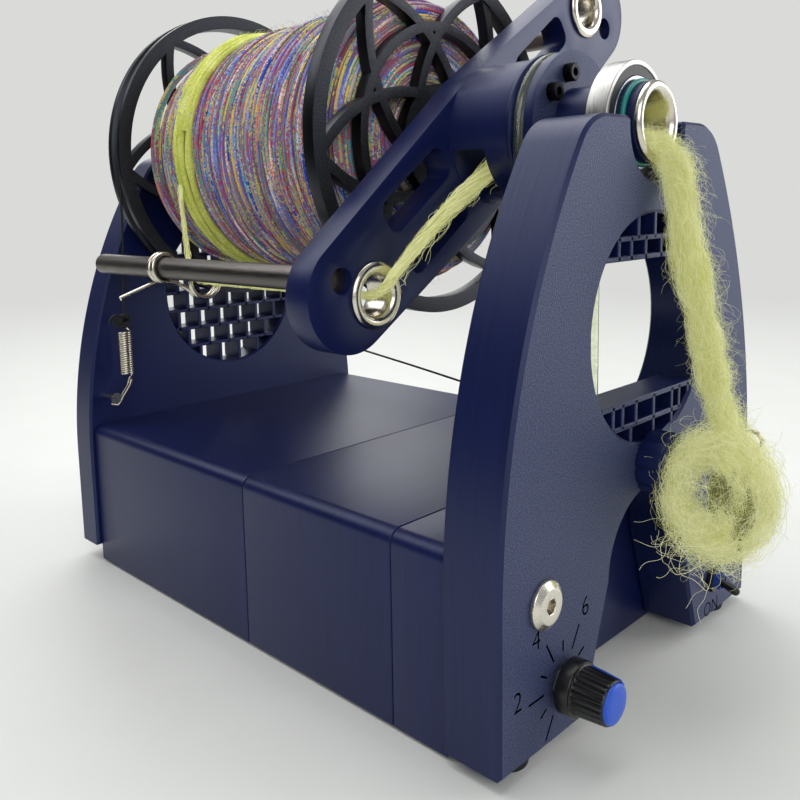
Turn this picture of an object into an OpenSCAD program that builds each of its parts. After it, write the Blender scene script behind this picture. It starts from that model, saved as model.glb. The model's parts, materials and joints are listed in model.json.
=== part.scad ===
// Electric yarn spinner: a printed base with two uprights, a belt-driven flyer
// with two rods and sliding guides, a braked bobbin, and the drive in the base.
// +Z is up, -Y is the front, where the fibre enters. Lengths are millimetres.

/* [Base] */
// Width of the base
base_w = 150; // [140:1:160]
// Height of the base top above the table
base_top = 61.5; // [58:0.5:65]
// Gap between the base and the table
base_lift = 1; // [0.5:0.5:2]
// Wall of the printed base sections
base_wall = 3; // [2.5:0.5:4]
// Rounding of the long top edges
base_round = 4.5; // [3:0.5:6]
// Distance from the front face to the first seam
seam_front = 40.5; // [40:0.5:42]
// Distance from the front face to the second seam
seam_rear = 111.5; // [108:0.5:116]

/* [Uprights] */
// Width over the legs
upright_w = 154; // [152:1:158]
// Height of the front upright
upright_top = 177; // [176:0.5:178]
// Thickness of the front upright
front_t = 19.5; // [18:0.5:20]
// Thickness of the rear upright
rear_t = 13.5; // [12:0.5:15]
// Distance from the front face to the rear upright
rear_y = 219; // [215:1:225]
// Diameter of the round windows
window_d = 70; // [64:1:72]
// Height of the window centres
window_z = 114.5; // [113:0.5:116]

/* [Flyer] */
// Height of the spinning axis
axis_z = 176; // [175.5:0.5:176.5]
// Angle of the flyer at rest
flyer_angle = 36; // [0:1:90]
// Thickness of the flyer plate
plate_t = 10; // [9:0.5:11]
// Distance from the axis to each rod
rod_reach = 84.5; // [83:0.5:86]
// Diameter of each rod
rod_d = 8; // [8:0.5:8.5]
// Diameter of the drive belt
belt_d = 3; // [2.5:0.5:3]

/* [Bobbin] */
// Diameter of the bobbin flanges
flange_d = 125; // [118:1:128]
// Diameter of the wound yarn
yarn_d = 96; // [80:1:100]
// Curved spokes in each direction on a flange
spokes = 6; // [5:1:8]

/* [Controls] */
// Sideways distance from the centre to the speed knob and the switch
control_x = 48; // [47:0.5:49]
// Height of the speed knob
knob_z = 20; // [19:0.5:21]
// Diameter of the knob skirt
knob_d = 16; // [15:0.5:16.5]

/* [Hidden] */
$fn = 64;
front_reach = 27;
rear_reach = rear_y + rear_t + 2.5;
mid_y = (rear_reach - front_reach) / 2;
foot_z = 3.7;
rear_foot_z = 7.2;
side_z = 48.5;
side_r = 227;
shoulder_r = 16;
arch_r = 23;
arch_z = 41.5;
arch_foot = 36;
bolt_x = 57.5;
bolt_z = 46.5;
bolt_hole_r = 3.2;
bolt_grip_r = 2.5;
lattice_bar = 1.6;
lattice_depth = 12;
// bearing at the orifice: 25 x 37 x 7
brg_y = 6.7;
brg_w = 7;
lip_r = 16;
brg_r = 18.5;
brg_bore = 12.5;
brg_inner = 13.9;
brg_outer = 16.9;
// bearing at the rear: 8 x 22 x 7
rbrg_y = rear_y + 2;
rbrg_r = 11;
rlip_r = 8.5;
seat_cut = 10;
cap_y = 28;
cap_r = 24;
cap_screw_at = [72, 108, 252, 288];
cap_screw_r = 17.6;
belt_y = 34;
belt_r = 22.7;
motor_r = 24;
motor_z = 32;
hub_y = 38;
hub_r = 23;
plate_y0 = 61;
plate_y1 = plate_y0 + plate_t;
plate_mid_r = 22.5;
plate_end_u = 84;
plate_end_r = 17.5;
cut_w = 17;
cut_h = 5.8;
cut_r = 4;
eyelet_u = 76.4;
eyelet_v = 6;
rod_v = -6.6;
rod_y1 = 207;
shaft_r = 4;
bob_y0 = 83;
bob_y1 = 214;
flange_t = 5;
flange_r = flange_d / 2;
rear_rim = 9;
core_r = 17;
brake_y = 209.5;
tension_z = 73;
switch_z = 18;
pot_hole_r = 9;
switch_hole_r = 7.5;
// power inlet at the rear
inlet_x = 50;
inlet_z = 24;
inlet_r = 5.5;
// yarn winding
wind_loops = 24;
wind_tube = 2;
wind_y0 = bob_y0 + flange_t + 4.5;
wind_y1 = bob_y1 - rear_rim - 4.5;
wind_r = yarn_d / 2 - wind_tube;
bush_r = 7;
// yarn guides
guide_y = 160;
guide_offset = 20;
guide_wire = 0.85;
guide_pitch = 2.6;
guide_eye = [14, -6];
guide_eye_r = 6;
// strand of new yarn, from inside the hub to the guide's eye and the winding
strand_route = [[-8, 50, 170], [-14, 53, 163], [-34, 54, 150], [-51, 57, 135], [-57, 60, 127.5],
    [-58.5, 66, 126], [-58.5, 80, 126], [-58.4, 110, 125.9], [-58.3, 140, 125.8], [-58.3, 156, 125.8]];
feed_route = [[-58.3, 156.2, 125.8], [-57.5, 162, 127], [-54, 170, 131], [-50.6, 178, 146], [-49.6, 181, 163]];
// brake cord, spring and eyes
cord_r = 0.5;
spring_coils = 14;
spring_r = 2.35;
spring_wire = 0.42;
spring_z0 = 83;
spring_z1 = 101.5;
spring_x = -62;
spring_y = 211.5;
anchor_x = -67.5;
anchor_z = 73;
eye_x = 70;
eye_z = 79;
front_eye_x = 36.5;
front_eye_z = 68.7;
brake_left = [[-62, 211.2, 105], [-62, 210.5, 112], [-61, 209.5, 140], [-60.5, 209.5, 165]];
brake_right = [[63, 209.5, 145], [67, 209.5, 110], [69.6, 209.5, 84], [69.8, 209, 79], [68.8, 204, 77.4],
    [60, 155, 75], [50, 100, 72], [41, 50, 69.6], [36.7, 27, 68.7], [36.4, 23.4, 68.7], [35.2, 21.6, 68.8],
    [31.5, 21.2, 69.2], [12, 23, 71.5], [4, 23.4, 72.6]];
// fibre hook and the fibre
hook_x = 66;
hook_z = 66;
hook_r = 3.5;
hook_reach = 2.5;
roving_route = [[1, 16, 176], [1, 5, 176], [1.5, -4.5, 173.5], [3, -9, 163], [6, -11, 138], [6.5, -13, 114],
    [9.5, -15, 97], [8, -16, 90.5]];
nest_x = 4;
nest_y = -18;
nest_z = 64;
nest_rx = 26;
nest_ry = 9;
nest_rz = 22;

// ---- helpers ----
// everything is drawn from the front face, then centred on the origin
module placed() translate([0, -mid_y, 0]) children();
// a flat outline in X and Z, t thick from y
module slab(y, t) translate([0, y + t, 0]) rotate([90, 0, 0]) linear_extrude(t) children();
// a cylinder along Y from y0 to y1
module bar_y(r, y0, y1, x = 0, z = axis_z) translate([x, y1, z]) rotate([90, 0, 0])
    cylinder(r = r, h = y1 - y0);
// a lathed profile of [radius, y] points about the spinning axis
module lathe_y(points, x = 0, z = axis_z) translate([x, 0, z]) rotate([-90, 0, 0])
    rotate_extrude($fn = 96) polygon(points);
// things that turn with the flyer, drawn with the plate's long side along X
module at_flyer() translate([0, 0, axis_z]) rotate([0, -flyer_angle, 0]) children();
function arc(cx, cz, r, a0, a1, n) = [for (i = [0:n]) let (a = a0 + (a1 - a0) * i / n)
    [cx + r * cos(a), cz + r * sin(a)]];
function mirrored_u(pts) = [for (q = pts) [-q[0], -q[1]]];
function mirrored(pts) = [for (i = [len(pts) - 1:-1:0]) [-pts[i][0], pts[i][1]]];

// swept tube: rings of points about a path, closed at both ends
function unit(v) = v / norm(v);
function tangent(p, i) = unit(p[min(i + 1, len(p) - 1)] - p[max(i - 1, 0)]);
function frame_next(n, t) = unit(n - (n * t) * t);
function frames(p, i, n) = i >= len(p) ? []
    : let (m = frame_next(n, tangent(p, i))) concat([m], frames(p, i + 1, m));
module tube(p, r, sides, up = [0, 0, 1]) {
    f = frames(p, 0, frame_next(up, tangent(p, 0)));
    pts = [for (i = [0:len(p) - 1]) let (t = tangent(p, i), a = f[i], b = cross(t, a)) for (k = [0:sides - 1])
        p[i] + r * (cos(360 * k / sides) * a + sin(360 * k / sides) * b)];
    n = len(p);
    side = [for (i = [0:n - 2]) for (k = [0:sides - 1]) let (q = (k + 1) % sides)
        for (h = [0, 1]) h == 0 ? [i * sides + k, i * sides + q, (i + 1) * sides + q]
            : [i * sides + k, (i + 1) * sides + q, (i + 1) * sides + k]];
    ends = [for (k = [1:sides - 2]) for (h = [0, 1]) h == 0 ? [0, k + 1, k]
        : [(n - 1) * sides, (n - 1) * sides + k, (n - 1) * sides + k + 1]];
    polyhedron(pts, [for (q = concat(side, ends)) [q[2], q[1], q[0]]]);
}
// rounded copies of the corners of a route
function smooth(p, n) = [for (i = [0:len(p) - 2]) for (k = [0:n - 1]) let (t = k / n,
    a = p[max(i - 1, 0)], b = p[i], c = p[i + 1], d = p[min(i + 2, len(p) - 1)])
    0.5 * (2 * b + (c - a) * t + (2 * a - 5 * b + 4 * c - d) * t * t + (3 * b - a - 3 * c + d) * t * t * t)];
function routed(p, n) = concat(smooth(p, n), [p[len(p) - 1]]);

// ---- uprights ----
shoulder_z = upright_top - shoulder_r;
big_x = upright_w / 2 - side_r;
shoulder_x = big_x + sqrt(pow(side_r - shoulder_r, 2) - pow(shoulder_z - side_z, 2));
shoulder_a = asin((shoulder_z - side_z) / (side_r - shoulder_r));
function side_line(z0) = concat([[upright_w / 2, z0], [upright_w / 2, side_z]],
    arc(big_x, side_z, side_r, 0, shoulder_a, 36), arc(shoulder_x, shoulder_z, shoulder_r, shoulder_a, 90, 16));
module upright_outline(z0) polygon(concat(side_line(z0), mirrored(side_line(z0))));
module leg_arch(z0) {
    translate([0, arch_z]) circle(arch_r);
    polygon([[-arch_foot, z0 - 1], [arch_foot, z0 - 1], [arch_r, arch_z], [-arch_r, arch_z]]);
}
module bar_h(z, x0, x1) translate([x0, z]) square([x1 - x0, lattice_bar]);
module bar_v(x, z0, z1) translate([x, z0]) square([lattice_bar, z1 - z0]);
low = window_z - window_d / 2;
high = window_z + window_d / 2;
module front_lattice() intersection() {
    translate([0, window_z]) circle(window_d / 2 + 1);
    union() {
        bar_h(92.6, -40, 40);
        bar_h(85.6, -40, 40);
        bar_h(136, -40, 40);
        bar_h(141.6, -40, 40);
        for (x = [-22.5, -17, -9, 2, 14, 19, 25]) bar_v(x, 85.6, 94);
        for (x = [-12, 2, 14]) bar_v(x, low - 1, 86.5);
        for (x = [-21, -14, -5.5, 4, 13, 19]) bar_v(x, 136, 143);
        for (x = [-10, 0, 9]) bar_v(x, 141.8, high + 1);
    }
}
module rear_lattice() intersection() {
    translate([0, window_z]) circle(window_d / 2 + 1);
    union() {
        for (i = [0:6]) bar_h(low + 9 + i * 8.5, -40, 40);
        for (i = [0:7]) for (x = [-30 + (i % 2) * 5:11:32])
            bar_v(x, low + 0.5 + i * 8.5, low + 9.5 + i * 8.5);
    }
}
module front_upright() color("#2b2f63") placed() difference() {
    union() {
        slab(0, front_t) difference() {
            upright_outline(foot_z);
            leg_arch(foot_z);
            translate([0, window_z]) circle(window_d / 2);
        }
        slab(0.6, lattice_depth) front_lattice();
    }
    // seat for the bearing, with a lip before and behind it, open at the top
    bar_y(lip_r, -1, front_t + 1);
    bar_y(brg_r, brg_y, brg_y + brg_w);
    translate([-lip_r, -1, axis_z]) cube([2 * lip_r, front_t + 2, seat_cut]);
    translate([-brg_r, brg_y, axis_z]) cube([2 * brg_r, brg_w, seat_cut]);
    for (s = [-1, 1]) bar_y(bolt_hole_r, -1, front_t + 1, s * bolt_x, bolt_z);
    // holes for the speed control, the switch, the brake knob's shaft and the fibre hook
    bar_y(3.6, -1, front_t + 1, -control_x, knob_z);
    bar_y(pot_hole_r, 3, front_t + 1, -control_x, knob_z);
    bar_y(3.1, -1, front_t + 1, control_x, switch_z);
    bar_y(switch_hole_r, 3, front_t + 1, control_x, switch_z);
    bar_y(3.05, -1, front_t + 1, 0, tension_z);
    bar_y(0.75, -1, 8, hook_x, hook_z);
    // scale: marks over 300 degrees, the even ones longer; the ninth would fall off the leg
    for (i = [0:10]) if (i != 8) translate([-control_x, 0, knob_z]) rotate([0, (i - 5) * 30, 0])
        translate([-0.3, -1, 9.2]) cube([0.6, 1.4, i % 2 == 0 ? 7.2 : 3.2]);
}
module rear_upright() color("#2b2f63") placed() difference() {
    union() {
        slab(rear_y, rear_t) difference() {
            upright_outline(rear_foot_z);
            translate([0, window_z]) circle(window_d / 2);
        }
        slab(rear_y + 1, lattice_depth) rear_lattice();
    }
    // seat for the small bearing, open at the top like the front one
    bar_y(rlip_r, rear_y - 1, rear_y + rear_t + 1);
    bar_y(rbrg_r, rbrg_y, rbrg_y + brg_w);
    translate([-rlip_r, rear_y - 1, axis_z]) cube([2 * rlip_r, rear_t + 2, seat_cut]);
    translate([-rbrg_r, rbrg_y, axis_z]) cube([2 * rbrg_r, brg_w, seat_cut]);
    for (s = [-1, 1]) bar_y(bolt_hole_r, rear_y - 1, rear_y + rear_t + 1, s * bolt_x, bolt_z);
    bar_y(inlet_r, rear_y - 1, rear_y + rear_t + 1, inlet_x, inlet_z);
    bar_y(1.45, rear_y - 1, rear_y + 9, anchor_x, anchor_z);
    bar_y(0.75, rear_y - 1, rear_y + 8.1, eye_x, eye_z);
}

// ---- base ----
half_w = base_w / 2;
function box_line(w, z0, z1, r) = concat([[w, z0]], arc(w - r, z1 - r, r, 0, 90, 10),
    mirrored(concat([[w, z0]], arc(w - r, z1 - r, r, 0, 90, 10))));
module base_outer() polygon(box_line(half_w, base_lift, base_top, base_round));
module base_inner()
    polygon(box_line(half_w - base_wall, base_lift - 1, base_top - base_wall, base_round - 2));
cover_t = 2.5;
// screw bosses in the corners for the bottom cover
boss_x = half_w - base_wall - 5;
boss_y = [front_t + 9, 105, 118, rear_y - 9];
module cover_boss(y, x) difference() {
    translate([x, y, base_lift + cover_t]) cylinder(r = 5, h = 22);
    translate([x, y, 0]) cylinder(r = 1.25, h = 20);
}
module bolt_block(y, t) for (s = [-1, 1]) difference() {
    translate([s * bolt_x - 9, y, bolt_z - 9]) cube([18, t, 21]);
    bar_y(bolt_grip_r, y - 1, y + t + 1, s * bolt_x, bolt_z);
}
belt_slot_x = 23.5;
module base_front() color("#2b2f63") placed() difference() {
    union() {
        difference() {
            slab(front_t, seam_front - front_t) base_outer();
            slab(front_t + base_wall, seam_front - front_t) base_inner();
        }
        bolt_block(front_t + base_wall - 0.5, 14);
        for (s = [-1, 1]) cover_boss(boss_y[0], s * boss_x);
    }
    // belt slots in the top, and holes for the controls and the bolts
    for (s = [-1, 1]) translate([s * belt_slot_x - 4.5, belt_y - 3.5, base_top - 5]) cube([9, 7, 8]);
    for (s = [-1, 1]) bar_y(bolt_grip_r, front_t - 1, front_t + 5, s * bolt_x, bolt_z);
    bar_y(pot_hole_r, front_t - 1, front_t + 4, -control_x, knob_z);
    bar_y(switch_hole_r, front_t - 1, front_t + 4, control_x, switch_z);
}
module base_middle() color("#2b2f63") placed() union() {
    slab(seam_front, seam_rear - seam_front) difference() {
        base_outer();
        base_inner();
    }
    for (s = [-1, 1]) cover_boss(boss_y[1], s * boss_x);
}
module base_rear() color("#2b2f63") placed() difference() {
    union() {
        difference() {
            slab(seam_rear, rear_y - seam_rear) base_outer();
            slab(seam_rear - 1, rear_y - seam_rear + 1 - base_wall) base_inner();
        }
        bolt_block(rear_y - base_wall - 13.5, 14);
        for (s = [-1, 1]) cover_boss(boss_y[2], s * boss_x);
        for (s = [-1, 1]) cover_boss(boss_y[3], s * boss_x);
    }
    for (s = [-1, 1]) bar_y(bolt_grip_r, rear_y - 5, rear_y + 1, s * bolt_x, bolt_z);
    bar_y(inlet_r, rear_y - 4, rear_y + 1, inlet_x, inlet_z);
}
module bottom_cover() color("#23264f") placed() difference() {
    translate([-half_w + base_wall + 0.3, front_t + base_wall + 0.3, base_lift])
        cube([base_w - 2 * base_wall - 0.6, rear_y - front_t - 2 * base_wall - 0.6, cover_t]);
    for (s = [-1, 1]) for (y = boss_y) translate([s * boss_x, y, base_lift - 1]) cylinder(r = 1.7, h = 5);
    for (s = [-1, 1]) for (y = boss_y) translate([s * boss_x, y, base_lift - 1]) cylinder(r = 3.2, h = 2.2);
}
module bottom_screws() color("#1c1c20") placed()
    for (s = [-1, 1]) for (y = boss_y) translate([s * boss_x, y, 0]) {
    translate([0, 0, base_lift]) difference() {
        cylinder(r = 2.9, h = 1.1);
        translate([0, 0, -1]) cylinder(r = 1.2, h = 1.7, $fn = 6);
    }
    translate([0, 0, base_lift + 1]) cylinder(r = 1.2, h = 11);
}
// round feet under the front legs and under the cover's corners
module rubber_feet() color("#141416") placed() {
    for (s = [-1, 1]) translate([s * 63, 8.5, 0]) cylinder(r1 = 6.2, r2 = 6.8, h = foot_z);
    for (s = [-1, 1]) for (y = [58, 168]) translate([s * 55, y, 0]) cylinder(r = 6, h = base_lift);
}
// furniture bolts: chamfered flat head, hex socket, threaded shank
module furniture_bolt(y, dir, plain, length) translate([0, y, 0]) rotate([dir > 0 ? -90 : 90, 0, 0])
    difference() {
    union() {
        translate([0, 0, -2.5]) cylinder(r1 = 5, r2 = 6.9, h = 1.3);
        translate([0, 0, -1.2]) cylinder(r = 6.9, h = 1.2);
        cylinder(r = 3, h = plain);
        cylinder(r = 2.4, h = length);
    }
    translate([0, 0, -3]) cylinder(r = 2.31, h = 4, $fn = 6);
}
module front_bolts() color("#d5d0c4") placed() for (s = [-1, 1]) translate([s * bolt_x, 0, bolt_z])
    furniture_bolt(0, 1, front_t - 0.5, 34);
module rear_bolts() color("#d5d0c4") placed() for (s = [-1, 1]) translate([s * bolt_x, 0, bolt_z])
    furniture_bolt(rear_y + rear_t, -1, rear_t - 0.5, 28);

// ---- bearings ----
module ring_y(r1, r0, y0, y1, x = 0, z = axis_z) difference() {
    bar_y(r1, y0, y1, x, z);
    bar_y(r0, y0 - 1, y1 + 1, x, z);
}
module front_bearing_outer() color("#c9c9c6") placed() ring_y(brg_r, brg_outer, brg_y, brg_y + brg_w);
module front_bearing_seals() color("#26262a") placed() for (y = [brg_y + 0.3, brg_y + brg_w - 0.9])
    ring_y(brg_outer, brg_inner + 0.2, y, y + 0.6);
module front_bearing_balls() color("#d8d8d8") placed() for (a = [0:24:359])
    translate([15.4 * cos(a), brg_y + brg_w / 2, axis_z + 15.4 * sin(a)]) sphere(r = 1.2, $fn = 32);
module front_bearing_inner() color("#b9bcc6") placed() ring_y(brg_inner, brg_bore, brg_y, brg_y + brg_w);
module rear_bearing_outer() color("#c9c9c6") placed() ring_y(rbrg_r, 6.6, rbrg_y, rbrg_y + brg_w);
module rear_bearing_inner() color("#c9c9c6") placed() ring_y(6.3, shaft_r, rbrg_y, rbrg_y + brg_w);

// ---- drive ----
motor_y = 47;
module motor() color("#8c8c90") placed() {
    bar_y(18, motor_y, motor_y + 52, 0, motor_z);
    bar_y(6, motor_y - 4, motor_y, 0, motor_z);
    bar_y(5, motor_y + 52, motor_y + 54, 0, motor_z);
}
module motor_bracket() color("#23264f") placed() difference() {
    union() {
        translate([-26, motor_y - 4, base_lift + cover_t])
            cube([52, 4, base_top - base_wall - base_lift - cover_t]);
        for (s = [-1, 1]) translate([s * 24 - 2, motor_y - 4, base_lift + cover_t]) cube([4, 24, 30]);
    }
    bar_y(6.3, motor_y - 6, motor_y + 2, 0, motor_z);
    for (a = [45:90:359]) bar_y(1.7, motor_y - 6, motor_y + 2, 12.5 * cos(a), motor_z + 12.5 * sin(a));
}
module motor_screws() color("#8a8a8a") placed() for (a = [45:90:359]) {
    bar_y(2.9, motor_y - 6, motor_y - 4, 12.5 * cos(a), motor_z + 12.5 * sin(a));
    bar_y(1.5, motor_y - 5, motor_y, 12.5 * cos(a), motor_z + 12.5 * sin(a));
}
module motor_shaft() color("#c8c8c8") placed() bar_y(2.5, 25.5, motor_y - 4.3, 0, motor_z);
// groove wide enough to keep the round belt clear of its flanks
function groove(r, y0, y1) = [[3, y0], [r + 1.6, y0], [r + 1.6, y0 + 0.8], [r - 1.9, belt_y - 1],
    [r - 1.9, belt_y + 1], [r + 1.6, y1 - 0.8], [r + 1.6, y1], [3, y1]];
module motor_pulley() color("#2b2f63") placed() difference() {
    union() {
        lathe_y(groove(motor_r, belt_y - 3.6, belt_y + 3.6), 0, motor_z);
        bar_y(7, belt_y + 3.6, 40, 0, motor_z);
        bar_y(3.5, belt_y - 3.6, 40, 0, motor_z);
    }
    bar_y(2.5, belt_y - 5, 41, 0, motor_z);
    translate([0, 38, motor_z]) cylinder(r = 1.5, h = 9);
}
module pulley_grub_screw() color("#1c1c20") placed() translate([0, 38, motor_z + 2.6]) difference() {
    cylinder(r = 1.45, h = 4);
    translate([0, 0, 2.5]) cylinder(r = 0.75, h = 3, $fn = 6);
}
// round belt: one closed loop of rings about both pulleys
belt_a = asin((belt_r - motor_r) / (axis_z - motor_z));
belt_loop = concat([for (i = [0:22]) let (a = -belt_a + (180 + 2 * belt_a) * i / 22) [belt_r, axis_z, a]],
    [for (i = [0:22]) let (a = 180 + belt_a + (180 - 2 * belt_a) * i / 22) [motor_r, motor_z, a]]);
module drive_belt() color("#cfd8b4") placed() {
    n = len(belt_loop);
    pts = [for (q = belt_loop) for (k = [0:7]) let (r = q[0] + belt_d / 2 * cos(45 * k))
        [r * cos(q[2]), belt_y + belt_d / 2 * sin(45 * k), q[1] + r * sin(q[2])]];
    polyhedron(pts, [for (i = [0:n - 1]) for (k = [0:7]) let (j = (i + 1) % n, l = (k + 1) % 8)
        for (h = [0, 1]) h == 0 ? [i * 8 + k, i * 8 + l, j * 8 + l]
            : [i * 8 + k, j * 8 + l, j * 8 + k]]);
}

// ---- electrics ----
board_screw_x = [-42, 22];
board_screw_y = [153, 195];
module control_board() color("#1d5b3a") placed() {
    difference() {
        translate([-45, 150, 11]) cube([70, 48, 1.6]);
        for (x = board_screw_x) for (y = board_screw_y) translate([x, y, 10]) cylinder(r = 1.6, h = 4);
    }
    translate([-38, 158, 12.6]) cube([14, 12, 9]);
    translate([-16, 156, 12.6]) cube([10, 16, 14]);
    for (x = [2, 14]) translate([x, 182, 12.6]) cylinder(r = 4, h = 11);
    translate([-36, 182, 12.6]) cube([16, 7, 6]);
}
module board_screws() color("#8a8a8a") placed()
    for (x = board_screw_x) for (y = board_screw_y) translate([x, y, 0]) {
    translate([0, 0, base_lift + cover_t]) cylinder(r = 3, h = 7.5);
    translate([0, 0, 10.5]) cylinder(r = 1.4, h = 2.5);
    translate([0, 0, 12.6]) cylinder(r = 2.6, h = 1.6);
}
module power_inlet() color("#141416") placed() difference() {
    union() {
        bar_y(7, rear_y + rear_t, rear_y + rear_t + 2, inlet_x, inlet_z);
        bar_y(inlet_r - 0.2, rear_y - 10, rear_y + rear_t + 1, inlet_x, inlet_z);
    }
    ring_y(2.8, 0.95, rear_y + 3, rear_y + rear_t + 3, inlet_x, inlet_z);
}
pot_y = 3;
pointer_a = 45;
module speed_pot() color("#8c8c90") placed() {
    bar_y(8.4, pot_y + 4, pot_y + 15, -control_x, knob_z);
    bar_y(3.5, -1.6, pot_y + 5, -control_x, knob_z);
}
module pot_nut() color("#c0c0c0") placed() translate([-control_x, 0, knob_z]) rotate([90, 0, 0])
    difference() {
    cylinder(r = 5, h = 1.5, $fn = 6);
    translate([0, 0, -1]) cylinder(r = 3.5, h = 4);
}
module pot_shaft() color("#c8c8c8") placed() bar_y(3, -13, -1.7, -control_x, knob_z);
// knob: deep skirt, tapered body; its flutes are cut as flat-bottomed slots
module speed_knob() color("#1b1b1e") placed() translate([-control_x, -1.9, knob_z]) rotate([90, 0, 0])
    difference() {
    union() {
        cylinder(r = knob_d / 2, h = 4.4);
        cylinder(r1 = 6.9, r2 = 6.3, h = 14);
    }
    for (a = [0:24:359]) rotate([0, 0, a + pointer_a]) translate([5.95, -0.45, 5]) cube([2, 0.9, 10]);
    translate([0, 0, -1]) cylinder(r = 3, h = 12.2);
    translate([0, 0, 13]) cylinder(r = 5.7, h = 2);
}
// cap with the pointer that runs down the body's side to the skirt
module knob_cap() color("#2f64b8") placed() translate([-control_x, -1.9, knob_z]) rotate([90, 0, 0]) {
    translate([0, 0, 13]) cylinder(r = 5.6, h = 1.9);
    rotate([0, 0, pointer_a]) translate([6.95, -0.6, 4.4]) cube([0.6, 1.2, 10.2]);
    rotate([0, 0, pointer_a]) translate([4, -0.6, 14]) cube([3.5, 1.2, 0.6]);
}
module switch_body() color("#20386e") placed() {
    translate([control_x - 6.5, 4.5, switch_z - 4]) cube([13, 10, 8]);
    difference() {
        bar_y(3, -4.5, 5, control_x, switch_z);
        bar_y(2.4, -5, -1, control_x, switch_z);
    }
    for (x = [-4.5, 0, 4.5]) translate([control_x + x - 0.4, 14.4, switch_z - 1]) cube([0.8, 4, 2]);
}
module switch_nut() color("#1c1c20") placed() translate([control_x, 0, switch_z]) rotate([90, 0, 0])
    difference() {
    cylinder(r = 4.6, h = 2, $fn = 6);
    translate([0, 0, -1]) cylinder(r = 3, h = 4);
}
// the lever swings about its round cross pin inside the bushing
lever_tilt = 20;
lever_y = -3.2;
module switch_lever() color("#1c1c20") placed() translate([control_x, lever_y, switch_z]) {
    rotate([90 + lever_tilt, 0, 0]) {
        cylinder(r1 = 1.1, r2 = 1.6, h = 6);
        translate([0, 0, 6]) sphere(r = 1.6, $fn = 32);
    }
    translate([-1.8, 0, 0]) rotate([0, 90, 0]) cylinder(r = 1.1, h = 3.6);
}

// ---- flyer ----
plate_slope = asin((plate_mid_r - plate_end_r) / plate_end_u);
plate_cos = cos(plate_slope);
plate_sin = sin(plate_slope);
// tangent lines from the middle circle to the end circle
plate_side = [[plate_mid_r * plate_sin, plate_mid_r * plate_cos],
    [plate_end_u + plate_end_r * plate_sin, plate_end_r * plate_cos]];
plate_end = arc(plate_end_u, 0, plate_end_r, 90 - plate_slope, plate_slope - 90, 48);
plate_right = concat([plate_side[0]], plate_end, [[plate_side[0][0], -plate_side[0][1]]]);
plate_mid = arc(0, 0, plate_mid_r, 90 + plate_slope, 90 - plate_slope, 4);
plate_low = arc(0, 0, plate_mid_r, plate_slope - 90, -90 - plate_slope, 4);
module window_cut(u, v) slab(plate_y0 - 1, plate_t + 2) translate([u, v]) polygon(concat(
    arc(cut_w - cut_r, cut_h - cut_r, cut_r, 0, 90, 8),
    arc(cut_r - cut_w, cut_h - cut_r, cut_r, 90, 180, 8),
    arc(cut_r - cut_w, cut_r - cut_h, cut_r, 180, 270, 8),
    arc(cut_w - cut_r, cut_r - cut_h, cut_r, 270, 360, 8)));
// plate with the hub that carries the belt pulley; the hub is hollow and open at both sides
module flyer_plate() color("#2b2f63") placed() at_flyer() difference() {
    union() {
        slab(plate_y0, plate_t) polygon(concat(plate_mid, plate_right, plate_low, mirrored_u(plate_right)));
        bar_y(hub_r, hub_y, plate_y0, 0, 0);
    }
    bar_y(12.6, hub_y - 1, 47, 0, 0);
    bar_y(16.4, 46, plate_y0 + 1, 0, 0);
    for (s = [-1, 1]) translate([s * 18, 54, 0]) cube([20, 13, 17], center = true);
    for (a = cap_screw_at) bar_y(1.25, hub_y - 1, 45.5, cap_screw_r * cos(a), cap_screw_r * sin(a));
    bar_y(shaft_r, plate_y0 - 1, plate_y1 + 1, 0, 0);
    for (s = [-1, 1]) {
        bar_y(rod_d / 2, plate_y0 - 1, plate_y1 + 1, s * rod_reach, s * rod_v);
        bar_y(8.6, plate_y0 - 1, plate_y1 + 1, s * eyelet_u, s * eyelet_v);
        for (v = [-1, 1]) window_cut(s * 42, v * 8.2);
    }
}
// tube with the pulley's front half and the thin cap disc in one print
module orifice_tube() color("#2b2f63") placed() at_flyer() translate([0, 0, -axis_z]) difference() {
    union() {
        lathe_y([[9.9, 2], [12, 2], [12, 4.3], [11.2, 4.3], [11.2, 6.3], [12.5, 6.35], [12.5, 46], [9.9, 46]]);
        lathe_y([[12, cap_y], [cap_r, cap_y], [cap_r, belt_y - 2.6], [belt_r - 1.9, belt_y - 1],
            [belt_r - 1.9, belt_y + 1], [cap_r, belt_y + 2.6], [cap_r, hub_y], [12, hub_y]]);
    }
    for (a = cap_screw_at) translate([cap_screw_r * cos(a), cap_y - 1, axis_z + cap_screw_r * sin(a)])
        rotate([-90, 0, 0]) cylinder(r = 1.6, h = 12);
}
module cap_screws() color("#1c1c20") placed() at_flyer() for (a = cap_screw_at)
    translate([cap_screw_r * cos(a), cap_y - 3, cap_screw_r * sin(a)]) rotate([-90, 0, 0]) difference() {
        union() {
            cylinder(r = 2.75, h = 3);
            cylinder(r = 1.2, h = 19);
        }
        translate([0, 0, -1]) cylinder(r = 1.25, h = 2.6, $fn = 6);
    }
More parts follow.
